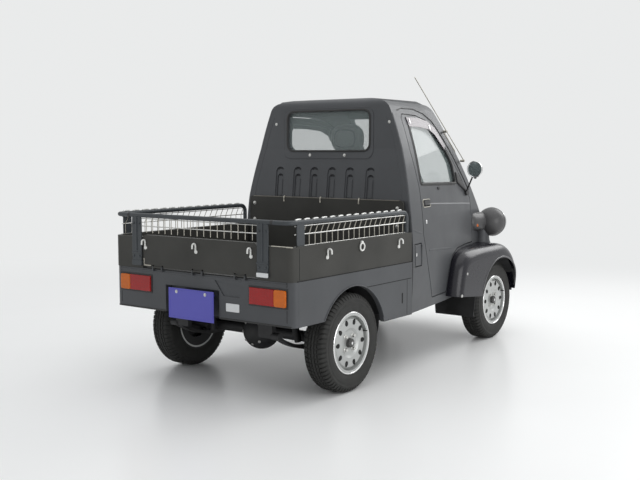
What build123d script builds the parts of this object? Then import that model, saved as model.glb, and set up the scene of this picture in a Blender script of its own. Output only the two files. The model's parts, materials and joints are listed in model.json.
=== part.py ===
from build123d import *
import os
from math import asin, cos, degrees, radians, sin, sqrt, tan

# A very small one-seat pickup truck, in millimetres.
# +X points to the front, +Y to the left and +Z up. The origin is on the ground, at the middle
# of the overall length and width.

# Overall layout
REAR_OVERHANG = 545.0
WHEELBASE = 1840.0
FRONT_OVERHANG = 405.0
BODY_WIDTH = 1295.0
REAR_WHEEL_SETBACK = 80.5
FRONT_WHEEL_SETBACK = 132.5
TYRE_RADIUS = 270.0

LENGTH = REAR_OVERHANG + WHEELBASE + FRONT_OVERHANG
REAR_END_X = -LENGTH / 2
FRONT_END_X = LENGTH / 2
REAR_AXLE_X = REAR_END_X + REAR_OVERHANG
FRONT_AXLE_X = REAR_AXLE_X + WHEELBASE
AXLE_Z = TYRE_RADIUS
HALF_WIDTH = BODY_WIDTH / 2
REAR_TRACK = BODY_WIDTH - 2 * REAR_WHEEL_SETBACK
FRONT_TRACK = BODY_WIDTH - 2 * FRONT_WHEEL_SETBACK

# Clearances
SEAL_GAP = 0.4
PANEL_GAP = 6.0
BRAKE_GAP = 6.0

# Wheels
TYRE_WIDTH = 145.0
TYRE_BEAD_RADIUS = 157.0
TYRE_SHOULDER = 38.0
TYRE_TREAD_INSET = 22.0
RIM_FLANGE_RADIUS = 168.0
RIM_WIDTH = 130.0
RIM_WALL = 7.0
RIM_DISC_SETBACK = 18.0
RIM_DISC_THICKNESS = 6.0
RIM_DISH_INNER = 68.0
RIM_DISH_OUTER = 131.0
RIM_DISH_RISE = 9.0
RIM_VENT_COUNT = 10
RIM_VENT_RADIUS = 9.5
RIM_VENT_CIRCLE = 117.0
RIM_STUD_COUNT = 4
RIM_STUD_RADIUS = 9.0
RIM_STUD_CIRCLE = 50.0
HUB_CAP_RADIUS = 24.0
HUB_CAP_LENGTH = 24.0
DRUM_RADIUS = 108.0
DRUM_LENGTH = 46.0
HUB_FLANGE_RADIUS = 60.0
SPINDLE_RADIUS = 24.0
SPINDLE_LENGTH = 30.0

# Rear axle and springs
AXLE_TUBE_RADIUS = 31.0
DIFF_RADIUS = 108.0
SPRING_SETBACK = 195.0
SPRING_Y = REAR_TRACK / 2 - SPRING_SETBACK
SPRING_WIDTH = 50.0
SPRING_THICKNESS = 22.0
SPRING_REACH = 325.0
SPRING_EYE_RADIUS = 20.0

# Chassis
RAIL_Y = 235.0
RAIL_WIDTH = 50.0
RAIL_HEIGHT = 80.0
BED_BEAM = 30.0

# Steering
KINGPIN_LEAN = 6.9
KINGPIN_SETBACK = 73.0
KINGPIN_LOW_Y = FRONT_TRACK / 2 - KINGPIN_SETBACK
KINGPIN_LOW_Z = 178.0
KINGPIN_SEAT = 10.0
STRUT_RADIUS = 24.0

# Heights of the body
SILL_Z = 345.0
SHOULDER_Z = 656.0
BED_TOP_Z = 830.0
HEADBOARD_TOP_Z = 1013.0
ROOF_Z = 1640.0

# Cab. Its sides are an outline swept on a long arc, so that it narrows towards the nose.
CAB_BACK_X = FRONT_AXLE_X - 1223.0
CAB_WALL = 38.0
CAB_SETBACK = 2.5
CAB_HALF_WIDTH = HALF_WIDTH - CAB_SETBACK
CAB_WAIST_Z = 900.0
CAB_WAIST_LEAN = 13.0
CAB_WAIST_HALF_WIDTH = CAB_HALF_WIDTH - CAB_WAIST_LEAN
CAB_BELT_Z = 1215.0
CAB_BELT_LEAN = 69.0
CAB_BELT_HALF_WIDTH = CAB_HALF_WIDTH - CAB_BELT_LEAN
ROOF_EDGE_Z = 1550.0
ROOF_EDGE_LEAN = 177.0
ROOF_EDGE_HALF_WIDTH = CAB_HALF_WIDTH - ROOF_EDGE_LEAN
ROOF_CROWN_RADIUS = 3600.0
TAPER_RADIUS = 17060.0
TAPER_APEX = 2218.0
BACK_LEAN = 33.0
BACK_LEAN_Z = 1320.0
SCREEN_ANGLE = 49.6
SCREEN_REACH = 374.0
SCREEN_REACH_Z = 1492.0
SCREEN_BOW_RADIUS = 1780.0
SCREEN_LOW_Z = 1075.0
SCREEN_TOP_Z = 1530.0
SCREEN_LOW_HALF = 375.0
SCREEN_TOP_HALF = 318.0
NOSE_REACH = 325.0
NOSE_BOW_RADIUS = 950.0
GLASS_INSET = 14.0
GLASS_THICKNESS = 5.0
BACK_PANEL_DEPTH = 88.0
BACK_WINDOW_LOW_Z = 1311.0
BACK_WINDOW_TOP_Z = 1551.0
BACK_WINDOW_HALF = 312.0
BACK_WINDOW_CORNER = 48.0
WINDOW_FRAME_SIDE = 30.0
WINDOW_FRAME_LOW = 50.0
WINDOW_FRAME_TOP = 15.0
WINDOW_FRAME_PROUD = 3.0
RIB_PLACES = (366.0, 223.0, 91.0, -45.0, -181.0, -331.0)
RIB_WIDE_HALF = 34.0
RIB_WIDE_TOP_Z = 1206.0
RIB_HALF = 24.0
RIB_TOP_Z = 1162.0
RIB_LOW_Z = 690.0
RIB_STEP = 6.0
SEAT_BOX_HALF = 250.0
SEAT_BOX_TOP_Z = 600.0
SEAT_BOX_WALL = 10.0
TUNNEL_HALF = 140.0
TUNNEL_TOP_Z = 475.0
WHEELHOUSE_SETBACK = 220.0
WHEELHOUSE_HALF = FRONT_TRACK / 2 - WHEELHOUSE_SETBACK
WHEELHOUSE_RADIUS = 330.0
LINER_WALL = 5.0
NOSE_SPLIT = 160.0

# Front wings
WING_WALL = 6.0
WING_LIP_RADIUS = 303.0
WING_TOP_Z = 668.0
WING_SETBACK = 7.5
WING_HALF_WIDTH = HALF_WIDTH - WING_SETBACK
WING_EDGE_RADIUS = 75.0

# Bed and lower body
BED_WALL = 32.0
BED_FLOOR = 24.0
BED_SETBACK = 4.5
BED_HALF_WIDTH = HALF_WIDTH - BED_SETBACK
BED_REAR_X = REAR_AXLE_X - 530.0
CAB_BED_GAP = 10.0
BED_FRONT_X = CAB_BACK_X - CAB_BED_GAP
CORNER_RADIUS = 40.0
TAILGATE_SETBACK = 231.0
TAILGATE_HALF_WIDTH = BED_HALF_WIDTH - TAILGATE_SETBACK
TAILGATE_THICKNESS = 28.0
TAILGATE_TOP_Z = 842.0
TAILGATE_PIN_RADIUS = 5.0
HINGE_PIN_RADIUS = 2.5
HINGE_SPACING = 300.0
HINGE_PLACES = (-HINGE_SPACING, 0.0, HINGE_SPACING)
BARREL_REACH = 30.0
LUG_WIDTH = 6.0
HINGE_REACH = BARREL_REACH + 1.0 + LUG_WIDTH
GATE_PIN_X = BED_REAR_X - 2.0
GATE_PIN_Z = SHOULDER_Z + 10.0
HEADBOARD_THICKNESS = 14.0
HEADBOARD_SETBACK = 54.0
HEADBOARD_HALF_WIDTH = BED_HALF_WIDTH - HEADBOARD_SETBACK
LOWER_REAR_X = REAR_AXLE_X - 521.7
LOWER_WALL = 26.0
LOWER_REAR_Z = 427.0
ARCH_RADIUS = 311.0

# Rack over the bed
RACK_PIPE_RADIUS = 12.5
RACK_Z = 950.0
RACK_SETBACK = 21.0
RACK_HALF_WIDTH = BED_HALF_WIDTH - RACK_SETBACK
RACK_CORNER = 40.0
RACK_REAR_X = BED_REAR_X
RACK_FRONT_X = BED_FRONT_X - 30.0
POST_WIDTH = 74.0
POST_THICKNESS = 8.0
WIRE_RADIUS = 2.6
WIRE_PITCH = 48.0
MESH_TOP_Z = 922.0
MESH_MID_Z = 890.0

# Tail lamps, number plate and hooks
TAIL_LAMP_SETBACK = 41.5
TAIL_LAMP_WIDTH = 254.0
TAIL_AMBER_WIDTH = 77.0
TAIL_LAMP_Y1 = HALF_WIDTH - TAIL_LAMP_SETBACK
TAIL_LAMP_Y0 = TAIL_LAMP_Y1 - TAIL_LAMP_WIDTH
TAIL_LAMP_Z0 = 519.0
TAIL_LAMP_Z1 = 622.0
TAIL_LAMP_RIM = 8.0
TAIL_LAMP_SPLIT_Y = TAIL_LAMP_Y1 - TAIL_LAMP_RIM - TAIL_AMBER_WIDTH
TAIL_LENS_PROUD = 12.0
LAMP_DEPTH = 18.0
PLATE_Y0 = -127.0
PLATE_Y1 = 203.0
PLATE_Z0 = 403.0
PLATE_Z1 = 568.0
PLATE_RECESS = 44.0
CHEVRON_DEPTH = 5.0
CHEVRON_OUTLINE = [(-115, 630), (-178, 550), (-288, 550), (-322, 608)]
HOOK_Z = 818.0
HOOK_REACH = 22.0
HOOK_DROP = 44.0
HOOK_RADIUS = 4.0
POST_Y0 = TAILGATE_HALF_WIDTH + PANEL_GAP
POST_LOW_Z = 690.0

# Front bumper and spare wheel
BUMPER_LOW_Z = 300.0
BUMPER_HEIGHT = 72.0
BUMPER_DEPTH = 18.0
BUMPER_LEAD = 20.0
SPARE_RADIUS = 250.0
SPARE_WIDTH = 110.0
SPARE_Z = 545.0

# Seat, dashboard and steering wheel
SEAT_BACK_X = FRONT_AXLE_X - 935.0
SEAT_FRONT_X = FRONT_AXLE_X - 470.0
SEAT_HALF = 240.0
SEAT_TOP_Z = 740.0
SEAT_SHOULDER_Z = 1270.0
HEADREST_HALF = 107.0
HEADREST_TOP_Z = 1477.0
DASH_X0 = FRONT_AXLE_X - 400.0
DASH_LOW_Z = 800.0
DASH_TOP_Z = 985.0
WHEEL_RADIUS = 172.0
WHEEL_GRIP = 12.0
WHEEL_RAKE = 24.0
AERIAL_LENGTH = 790.0

# Mirrors and visors
VISOR_DEPTH = 6.0
MIRROR_RADIUS = 54.0
MIRROR_SETBACK = 62.0
MIRROR_Y = CAB_HALF_WIDTH - MIRROR_SETBACK
MIRROR_Z = 1186.0


# Small helpers

def box(x0, x1, y0, y1, z0, z1):
    """A block between two corners."""
    return Pos((x0 + x1) / 2, (y0 + y1) / 2, (z0 + z1) / 2) * Box(x1 - x0, y1 - y0, z1 - z0)


def side_face(points):
    """A face seen from the side, from (x, z) corners."""
    return Plane.XZ * make_face(Polyline(*points, close=True))


def front_face(points):
    """A face seen along X, from (y, z) corners."""
    return Plane.YZ * make_face(Polyline(*points, close=True))


def slab(face, y0, y1):
    """A face drawn in the XZ plane, made solid from y0 to y1."""
    return Pos(0, y1, 0) * extrude(face, y1 - y0)


def rod(a, b, radius):
    """A round bar from point a to point b."""
    a, b = Vector(*a), Vector(*b)
    return Plane(origin=a, z_dir=b - a) * Cylinder(
        radius, (b - a).length, align=(Align.CENTER, Align.CENTER, Align.MIN))


def union(pieces):
    """All pieces as one body."""
    first, *rest = pieces
    return first.fuse(*rest) if rest else first


def mirrored(piece):
    """The same piece on the other side of the truck."""
    return mirror(piece, about=Plane.XZ)


def pair(piece):
    """The piece and its mirror image, as solids that do not touch."""
    return Compound(children=[*piece.solids(), *mirrored(piece).solids()])


parts = {}

# Wheels, each built about its own centre with the outside towards -Y

def tyre_solid():
    half = TYRE_WIDTH / 2
    shoulder = TYRE_RADIUS - TYRE_SHOULDER
    tread = half - TYRE_TREAD_INSET
    section = make_face([
        Line((TYRE_BEAD_RADIUS, -half + 14), (shoulder, -half)),
        ThreePointArc((shoulder, -half), (TYRE_RADIUS - 10, -half + 8), (TYRE_RADIUS, -tread)),
        Line((TYRE_RADIUS, -tread), (TYRE_RADIUS, tread)),
        ThreePointArc((TYRE_RADIUS, tread), (TYRE_RADIUS - 10, half - 8), (shoulder, half)),
        Line((shoulder, half), (TYRE_BEAD_RADIUS, half - 14)),
        Line((TYRE_BEAD_RADIUS, half - 14), (TYRE_BEAD_RADIUS, -half + 14)),
    ])
    return Rot(-90, 0, 0) * revolve(Plane.XZ * section, Axis.Z)


def rim_solid():
    half = RIM_WIDTH / 2
    seat = TYRE_BEAD_RADIUS - SEAL_GAP
    inside = seat - RIM_WALL
    face = -half + RIM_DISC_SETBACK
    back = face + RIM_DISC_THICKNESS
    barrel = [(inside, -half), (RIM_FLANGE_RADIUS, -half), (RIM_FLANGE_RADIUS, -half + 3.5), (seat, -half + 3.5),
              (seat, half - 3.5), (RIM_FLANGE_RADIUS, half - 3.5), (RIM_FLANGE_RADIUS, half), (inside, half)]
    dish = [(HUB_CAP_RADIUS, face), (RIM_DISH_INNER, face), (RIM_DISH_INNER + 14, face - RIM_DISH_RISE),
            (RIM_DISH_OUTER, face - RIM_DISH_RISE), (inside + 1, face + RIM_DISH_RISE),
            (inside + 1, back + RIM_DISH_RISE), (RIM_DISH_OUTER - 2, back - RIM_DISH_RISE),
            (RIM_DISH_INNER + 16, back - RIM_DISH_RISE), (RIM_DISH_INNER + 2, back), (HUB_CAP_RADIUS, back)]
    rim = union([revolve(Plane.XZ * make_face(Polyline(*p, close=True)), Axis.Z) for p in (barrel, dish)])
    holes = [Rot(0, 0, 360 * i / RIM_VENT_COUNT) * Pos(RIM_VENT_CIRCLE, 0, 0) * Cylinder(RIM_VENT_RADIUS, 200)
             for i in range(RIM_VENT_COUNT)]
    cap = Pos(0, 0, back - HUB_CAP_LENGTH) * Cylinder(
        HUB_CAP_RADIUS + 1, HUB_CAP_LENGTH, align=(Align.CENTER, Align.CENTER, Align.MIN))
    studs = [Rot(0, 0, 45 + 360 * i / RIM_STUD_COUNT) * Pos(RIM_STUD_CIRCLE, 0, face - 5) *
             Cylinder(RIM_STUD_RADIUS, 12) for i in range(RIM_STUD_COUNT)]
    return Rot(-90, 0, 0) * union([rim - holes, cap, *studs])


tyre = tyre_solid()
rim = rim_solid()
# name, axle x, distance of the wheel's middle plane from the centre line, +1 left or -1 right
WHEELS = [
    ("rear_right", REAR_AXLE_X, REAR_TRACK / 2, -1),
    ("rear_left", REAR_AXLE_X, REAR_TRACK / 2, 1),
    ("front_right", FRONT_AXLE_X, FRONT_TRACK / 2, -1),
    ("front_left", FRONT_AXLE_X, FRONT_TRACK / 2, 1),
]
for name, x, y, side in WHEELS:
    place = Pos(x, side * y, AXLE_Z) * Rot(0, 0, 0 if side < 0 else 180)
    parts["tyre_" + name] = place * tyre
    parts["rim_" + name] = place * rim


# Brakes: the drum stands inside the rim, and the hub flange carries the rim's disc
DISC_INSIDE = RIM_WIDTH / 2 - RIM_DISC_SETBACK - RIM_DISC_THICKNESS


def brake(track):
    """Hub flange, drum and spindle of the left wheel, about the axle line."""
    disc = track / 2 + DISC_INSIDE - SEAL_GAP
    drum = disc - BRAKE_GAP
    return union([
        rod((0, drum, 0), (0, drum - DRUM_LENGTH, 0), DRUM_RADIUS),
        rod((0, disc, 0), (0, drum - 1, 0), HUB_FLANGE_RADIUS),
        rod((0, drum - DRUM_LENGTH + 1, 0), (0, drum - DRUM_LENGTH - SPINDLE_LENGTH, 0), SPINDLE_RADIUS),
    ])


# Rear axle: tube, differential bulge with its nose, and the two drums
def rear_axle():
    drum = brake(REAR_TRACK)
    tube_end = REAR_TRACK / 2 + DISC_INSIDE - BRAKE_GAP - DRUM_LENGTH
    axle = union([
        rod((0, -tube_end, 0), (0, tube_end, 0), AXLE_TUBE_RADIUS),
        Sphere(DIFF_RADIUS),
        rod((0, 0, 0), (DIFF_RADIUS + 55, 0, 0), DIFF_RADIUS * 0.55),
        drum,
        mirrored(drum),
    ])
    return Pos(REAR_AXLE_X, 0, AXLE_Z) * axle


parts["rear_axle"] = rear_axle()


# Chassis: two rails that step up over the rear axle, with cross members and beams under the bed
RAIL_REAR_X = REAR_AXLE_X - 455.0
RAIL_STEP_X = REAR_AXLE_X + 330.0
RAIL_LOW_X = REAR_AXLE_X + 540.0
RAIL_FRONT_X = FRONT_AXLE_X + 200.0
RAIL_HIGH_Z = SHOULDER_Z - BED_FLOOR - BED_BEAM
RAIL_MITRE = 15.0
RAIL_LOW_Z = SILL_Z


def chassis_frame():
    top = [(RAIL_REAR_X, RAIL_HIGH_Z), (RAIL_STEP_X + RAIL_MITRE, RAIL_HIGH_Z),
           (RAIL_LOW_X + RAIL_MITRE, RAIL_LOW_Z), (RAIL_FRONT_X, RAIL_LOW_Z)]
    low = [(RAIL_REAR_X, RAIL_HIGH_Z - RAIL_HEIGHT), (RAIL_STEP_X, RAIL_HIGH_Z - RAIL_HEIGHT),
           (RAIL_LOW_X, RAIL_LOW_Z - RAIL_HEIGHT), (RAIL_FRONT_X, RAIL_LOW_Z - RAIL_HEIGHT)]
    lengths = [side_face([low[i], low[i + 1], top[i + 1], top[i]]) for i in range(3)]
    inner = RAIL_Y - RAIL_WIDTH / 2
    rails = [slab(length, inner, inner + RAIL_WIDTH) for length in lengths]
    # cross members: x, bottom z, top z
    members = [
        (RAIL_REAR_X + 30, RAIL_HIGH_Z - RAIL_HEIGHT + 5, RAIL_HIGH_Z - 5),
        (REAR_AXLE_X + 260, RAIL_HIGH_Z - RAIL_HEIGHT + 5, RAIL_HIGH_Z - 5),
        (FRONT_AXLE_X - 420, RAIL_LOW_Z - RAIL_HEIGHT + 5, RAIL_LOW_Z - 40),
        (FRONT_AXLE_X, RAIL_LOW_Z - RAIL_HEIGHT + 5, RAIL_LOW_Z - 5),
        (RAIL_FRONT_X - 30, RAIL_LOW_Z - RAIL_HEIGHT + 5, RAIL_LOW_Z - 5),
    ]
    cross = [box(x - 25, x + 25, -inner, inner, z0, z1) for x, z0, z1 in members]
    reach = HALF_WIDTH - LOWER_WALL
    beams = [box(x - 22, x + 22, -reach, reach, RAIL_HIGH_Z, RAIL_HIGH_Z + BED_BEAM)
             for x in (BED_REAR_X + 80, REAR_AXLE_X - 190, REAR_AXLE_X + 190)]
    return Compound(children=[*rails, *[mirrored(rail) for rail in rails], *cross, *beams])


parts["chassis_frame"] = chassis_frame()


# Leaf springs under the rear axle, hung from brackets beside the rails
def leaf_spring():
    drop = AXLE_Z - AXLE_TUBE_RADIUS - 2
    eye_z = drop + 90
    y0, y1 = SPRING_Y - SPRING_WIDTH / 2, SPRING_Y + SPRING_WIDTH / 2
    ends = [(-SPRING_REACH, eye_z), (SPRING_REACH, eye_z)]
    top = drop + 1
    leaf = make_face([
        ThreePointArc(ends[0], (0, top), ends[1]),
        Line(ends[1], (SPRING_REACH, eye_z - 10)),
        ThreePointArc((SPRING_REACH, eye_z - 10), (0, top - SPRING_THICKNESS), (-SPRING_REACH, eye_z - 10)),
        Line((-SPRING_REACH, eye_z - 10), ends[0]),
    ])
    pieces = [slab(Plane.XZ * leaf, y0, y1)]
    for x, z in ends:
        pieces.append(rod((x, y0, z), (x, y1, z), SPRING_EYE_RADIUS))
        hanger = side_face([(x - 14, z - 14), (x + 14, z - 14), (x + 30, RAIL_HIGH_Z - 20), (x - 30, RAIL_HIGH_Z - 20)])
        pieces.append(slab(hanger, RAIL_Y + RAIL_WIDTH / 2, y0 + 8))
    pad = box(-55, 55, y0 + 4, y1 - 4, top - 6, AXLE_Z + AXLE_TUBE_RADIUS + 12)
    pieces.append(pad - rod((0, y0, AXLE_Z), (0, y1, AXLE_Z), AXLE_TUBE_RADIUS))
    return Pos(REAR_AXLE_X, 0, 0) * union(pieces)


parts["leaf_springs"] = pair(leaf_spring())

# Engine under the seat, gearbox behind it and the shaft to the rear axle
ENGINE_X0 = FRONT_AXLE_X - 930.0
ENGINE_X1 = FRONT_AXLE_X - 520.0
ENGINE_HALF = 190.0
GEARBOX_X0 = REAR_AXLE_X + 585.0
ENGINE_LOW_Z = 215.0
parts["engine_block"] = box(ENGINE_X0, ENGINE_X1, -ENGINE_HALF, ENGINE_HALF, ENGINE_LOW_Z, SEAT_BOX_TOP_Z - 45)


GEARBOX_Z = 330.0


def drive_line():
    wide = Plane(origin=(ENGINE_X0, 0, GEARBOX_Z + 10), z_dir=(-1, 0, 0)) * Circle(118)
    narrow = Plane(origin=(GEARBOX_X0, 0, GEARBOX_Z), z_dir=(-1, 0, 0)) * Circle(62)
    flange = REAR_AXLE_X + DIFF_RADIUS + 55
    return union([
        loft([wide, narrow]),
        rod((GEARBOX_X0 + 5, 0, GEARBOX_Z), (GEARBOX_X0 - 40, 0, GEARBOX_Z - 5), 42),
        rod((GEARBOX_X0 - 39, 0, GEARBOX_Z - 5), (flange + 20, 0, AXLE_Z), 27),
        rod((flange + 40, 0, AXLE_Z), (flange, 0, AXLE_Z), 42),
    ])


parts["drive_line"] = drive_line()

# Fuel tank beside the right rail and the exhaust beside the left one
TANK_X0 = REAR_AXLE_X + 385.0
TANK_X1 = CAB_BACK_X - 30.0
TANK_GAP = 36.5
TANK_LOW_Z = 330.0
TANK_TOP_Z = 520.0
tank = box(TANK_X0, TANK_X1, -(HALF_WIDTH - LOWER_WALL - TANK_GAP), -(RAIL_Y + RAIL_WIDTH / 2), TANK_LOW_Z, TANK_TOP_Z)
parts["fuel_tank"] = fillet(tank.edges().filter_by(Axis.X), 30)


def pipe(points, bend, radius):
    """A round pipe along straight runs joined by bends."""
    path = FilletPolyline(*points, radius=bend)
    return sweep(Plane(origin=path @ 0, z_dir=path % 0) * Circle(radius), path=path)


def exhaust():
    y = RAIL_Y + RAIL_WIDTH / 2 + 135
    silencer = rod((TANK_X0, y, 385), (TANK_X1 - 20, y, 385), 66)
    low = RAIL_LOW_Z - RAIL_HEIGHT - 24
    front = pipe([(TANK_X1 - 21, y, 340), (TANK_X1 + 15, y, SILL_Z - 40), (ENGINE_X0 - 60, y, SILL_Z - 40),
                  (ENGINE_X0 + 90, y - 60, low), (ENGINE_X0 + 90, ENGINE_HALF, low)], 20, 18)
    rear = pipe([(TANK_X0 + 1, y + 20, 360), (TANK_X0 - 60, y + 20, 330), (TANK_X0 - 75, y + 90, 330)], 20, 18)
    return union([silencer, front, rear])


parts["exhaust"] = exhaust()

# Front suspension: lower arms on the rails. The strut turns with the knuckle about the kingpin line.
LEAN_Y = sin(radians(KINGPIN_LEAN))
LEAN_Z = cos(radians(KINGPIN_LEAN))


def on_kingpin(z):
    """The left kingpin line's distance from the centre line at height z."""
    return KINGPIN_LOW_Y - (z - KINGPIN_LOW_Z) * LEAN_Y / LEAN_Z


def kingpin_point(reach):
    """A point on the left kingpin line, by its distance up from the arm."""
    return 0, KINGPIN_LOW_Y - reach * LEAN_Y, KINGPIN_LOW_Z + reach * LEAN_Z


def front_arm():
    y0 = RAIL_Y + RAIL_WIDTH / 2
    z = KINGPIN_LOW_Z
    blade = make_face(Polyline((-110, y0), (110, y0), (24, KINGPIN_LOW_Y), (-24, KINGPIN_LOW_Y), close=True))
    arm = Pos(0, 0, z - 11) * extrude(blade, 16)
    mounts = [box(x - 18, x + 18, y0, y0 + 26, z - 11, RAIL_LOW_Z - RAIL_HEIGHT + 30) for x in (-88, 88)]
    cup = rod(kingpin_point(-12), kingpin_point(KINGPIN_SEAT), 26)
    return Pos(FRONT_AXLE_X, 0, 0) * union([arm, *mounts, cup])


parts["front_arms"] = pair(front_arm())


STRUT_TOP_Z = AXLE_Z + WHEELHOUSE_RADIUS - LINER_WALL - 5


def knuckle():
    top = (0, on_kingpin(STRUT_TOP_Z), STRUT_TOP_Z)
    hub = Pos(0, 0, AXLE_Z) * brake(FRONT_TRACK)
    hub_y = FRONT_TRACK / 2 + DISC_INSIDE - BRAKE_GAP - DRUM_LENGTH
    strut = rod(kingpin_point(KINGPIN_SEAT + 14), top, STRUT_RADIUS)
    ball = rod(kingpin_point(KINGPIN_SEAT + SEAL_GAP), kingpin_point(KINGPIN_SEAT + 20), 18)
    upright = box(-30, 30, on_kingpin(AXLE_Z) - 20, hub_y + 4, KINGPIN_LOW_Z + 26, AXLE_Z + 60)
    arm = box(-150, 5, on_kingpin(AXLE_Z) - 22, on_kingpin(AXLE_Z) - 4, AXLE_Z - 14, AXLE_Z + 6)
    return Pos(FRONT_AXLE_X, 0, 0) * union([hub, strut, ball, upright, arm])


parts["knuckle_left"] = knuckle()
parts["knuckle_right"] = mirrored(parts["knuckle_left"])


# Cab form: the side outline, the two swept flanks, the bowed screen, the bowed nose and the
# crowned roof, all meeting in one solid. An inset moves every wall inwards.

def behind(distance):
    """A place given by its distance behind the front axle."""
    return FRONT_AXLE_X - distance


def screen_x(z, inset=0.0):
    """Where the screen's middle line stands at height z."""
    lean = tan(radians(SCREEN_ANGLE))
    return behind(SCREEN_REACH) + (SCREEN_REACH_Z - z) / lean - inset / sin(radians(SCREEN_ANGLE))


def cab_side_outline(inset):
    floor, roof, back = SILL_Z + inset, ROOF_Z - inset, CAB_BACK_X + inset
    nose = FRONT_AXLE_X + NOSE_REACH - inset
    spare = 20
    return Plane.XZ * make_face([
        Line((back, floor), (back, HEADBOARD_TOP_Z)),
        Line((back, HEADBOARD_TOP_Z), (back + BACK_LEAN, BACK_LEAN_Z)),
        Line((back + BACK_LEAN, BACK_LEAN_Z), (back + BACK_LEAN + 3, roof - 60)),
        ThreePointArc((back + BACK_LEAN + 3, roof - 60), (back + BACK_LEAN + 17, roof - 27),
                      (back + BACK_LEAN + 52, roof - 12)),
        ThreePointArc((back + BACK_LEAN + 52, roof - 12), (back + 360, roof), (behind(500), roof - 28)),
        ThreePointArc((behind(500), roof - 28), (behind(425), roof - 54), (behind(380), roof - 90)),
        Line((behind(380), roof - 90), (screen_x(700) + spare, 700)),
        Line((screen_x(700) + spare, 700), (nose, 560)),
        Line((nose, 560), (nose - 30, 400)),
        Line((nose - 30, 400), (nose - 110, floor)),
        Line((nose - 110, floor), (back, floor)),
    ])


def cab_flank(inset):
    """Everything inboard of the left flank."""
    deep = -1500
    section = make_face([
        Line((deep, 250), (CAB_HALF_WIDTH - 25 - inset, 250)),
        Line((CAB_HALF_WIDTH - 25 - inset, 250), (CAB_HALF_WIDTH - 13 - inset, SILL_Z)),
        ThreePointArc((CAB_HALF_WIDTH - 13 - inset, SILL_Z), (CAB_HALF_WIDTH - inset, 620),
                      (CAB_WAIST_HALF_WIDTH - inset, CAB_WAIST_Z)),
        ThreePointArc((CAB_WAIST_HALF_WIDTH - inset, CAB_WAIST_Z), (CAB_BELT_HALF_WIDTH - inset, CAB_BELT_Z),
                      (ROOF_EDGE_HALF_WIDTH - inset, ROOF_EDGE_Z)),
        ThreePointArc((ROOF_EDGE_HALF_WIDTH - inset, ROOF_EDGE_Z),
                      (ROOF_EDGE_HALF_WIDTH - 28 - inset, ROOF_EDGE_Z + 42 - inset / 2),
                      (ROOF_EDGE_HALF_WIDTH - 73 - inset, ROOF_EDGE_Z + 62 - inset)),
        Line((ROOF_EDGE_HALF_WIDTH - 73 - inset, ROOF_EDGE_Z + 62 - inset), (ROOF_EDGE_HALF_WIDTH - 73 - inset, 1800)),
        Line((ROOF_EDGE_HALF_WIDTH - 73 - inset, 1800), (deep, 1800)),
        Line((deep, 1800), (deep, 250)),
    ])
    first = degrees(asin(TAPER_APEX / TAPER_RADIUS))
    last = degrees(asin((TAPER_APEX + NOSE_REACH + 1400) / TAPER_RADIUS))
    body = revolve(Pos(TAPER_RADIUS - CAB_HALF_WIDTH, 0, 0) * (Plane.XZ * section), Axis.Z, last - first + 2)
    apex_half_width = CAB_HALF_WIDTH + TAPER_APEX ** 2 / (2 * TAPER_RADIUS)
    return Pos(CAB_BACK_X - TAPER_APEX, apex_half_width - TAPER_RADIUS, 0) * (Rot(0, 0, 89 - last) * body)


def bowed(x, radius, half):
    """A plan view of everything behind an arc that bows forward to x."""
    sag = radius - sqrt(radius ** 2 - half ** 2)
    return make_face([
        ThreePointArc((x - sag, -half), (x, 0), (x - sag, half)),
        Line((x - sag, half), (x - 6000, half)),
        Line((x - 6000, half), (x - 6000, -half)),
        Line((x - 6000, -half), (x - sag, -half)),
    ])


def cab_form(inset=0.0):
    flank = cab_flank(inset)
    lean = radians(SCREEN_ANGLE)
    screen = extrude(bowed(screen_x(0, inset), SCREEN_BOW_RADIUS, 700), 1800 / sin(lean), dir=(-cos(lean), 0, sin(lean)))
    nose = extrude(bowed(FRONT_AXLE_X + NOSE_REACH - inset, NOSE_BOW_RADIUS, 700), 2000)
    crown = Pos(0, 0, ROOF_Z - ROOF_CROWN_RADIUS) * (Rot(0, 90, 0) * Cylinder(ROOF_CROWN_RADIUS - inset, 6000))
    form = extrude(cab_side_outline(inset), 800, both=True)
    for cutter in (flank, mirrored(flank), screen, nose, crown):
        form = form & cutter
    return form


outer_form = cab_form()
inner_form = cab_form(CAB_WALL)
cab_walls = outer_form - inner_form

# The openings of the cab
back_split_x = CAB_BACK_X + BACK_PANEL_DEPTH
nose_split_x = FRONT_AXLE_X + NOSE_SPLIT

# Door outline and door window: distance behind the front axle, height
DOOR_OUTLINE = [
    (891, 403), (977, 594), (1045, 800), (1043, 1095), (1072, 1311), (1068, 1505), (1040, 1528),
    (830, 1524), (690, 1502), (575, 1455), (470, 1350), (340, 1215), (215, 1080), (118, 985),
    (118, 684), (260, 682), (450, 670), (545, 630), (600, 560), (632, 470), (645, 403),
]
WINDOW_OUTLINE = [
    (984, 1489), (824, 1487), (672, 1472), (581, 1437), (481, 1332), (395, 1225), (384, 1100), (1005, 1111),
]
door_face = side_face([(behind(d), z) for d, z in DOOR_OUTLINE])
door_gap_face = offset(door_face, PANEL_GAP, kind=Kind.INTERSECTION)
window_face = side_face([(behind(d), z) for d, z in WINDOW_OUTLINE])
DOOR_INNER_Y = 250.0
door_opening = slab(door_gap_face, DOOR_INNER_Y, 700)
window_hole = slab(window_face, DOOR_INNER_Y, 700)

wheelhouse_cut = Pos(FRONT_AXLE_X, 0, AXLE_Z) * (Rot(90, 0, 0) * Cylinder(WHEELHOUSE_RADIUS, 2000))
wheelhouse_cut = wheelhouse_cut - box(0, 2000, -WHEELHOUSE_HALF, WHEELHOUSE_HALF, 0, 1000)

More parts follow.
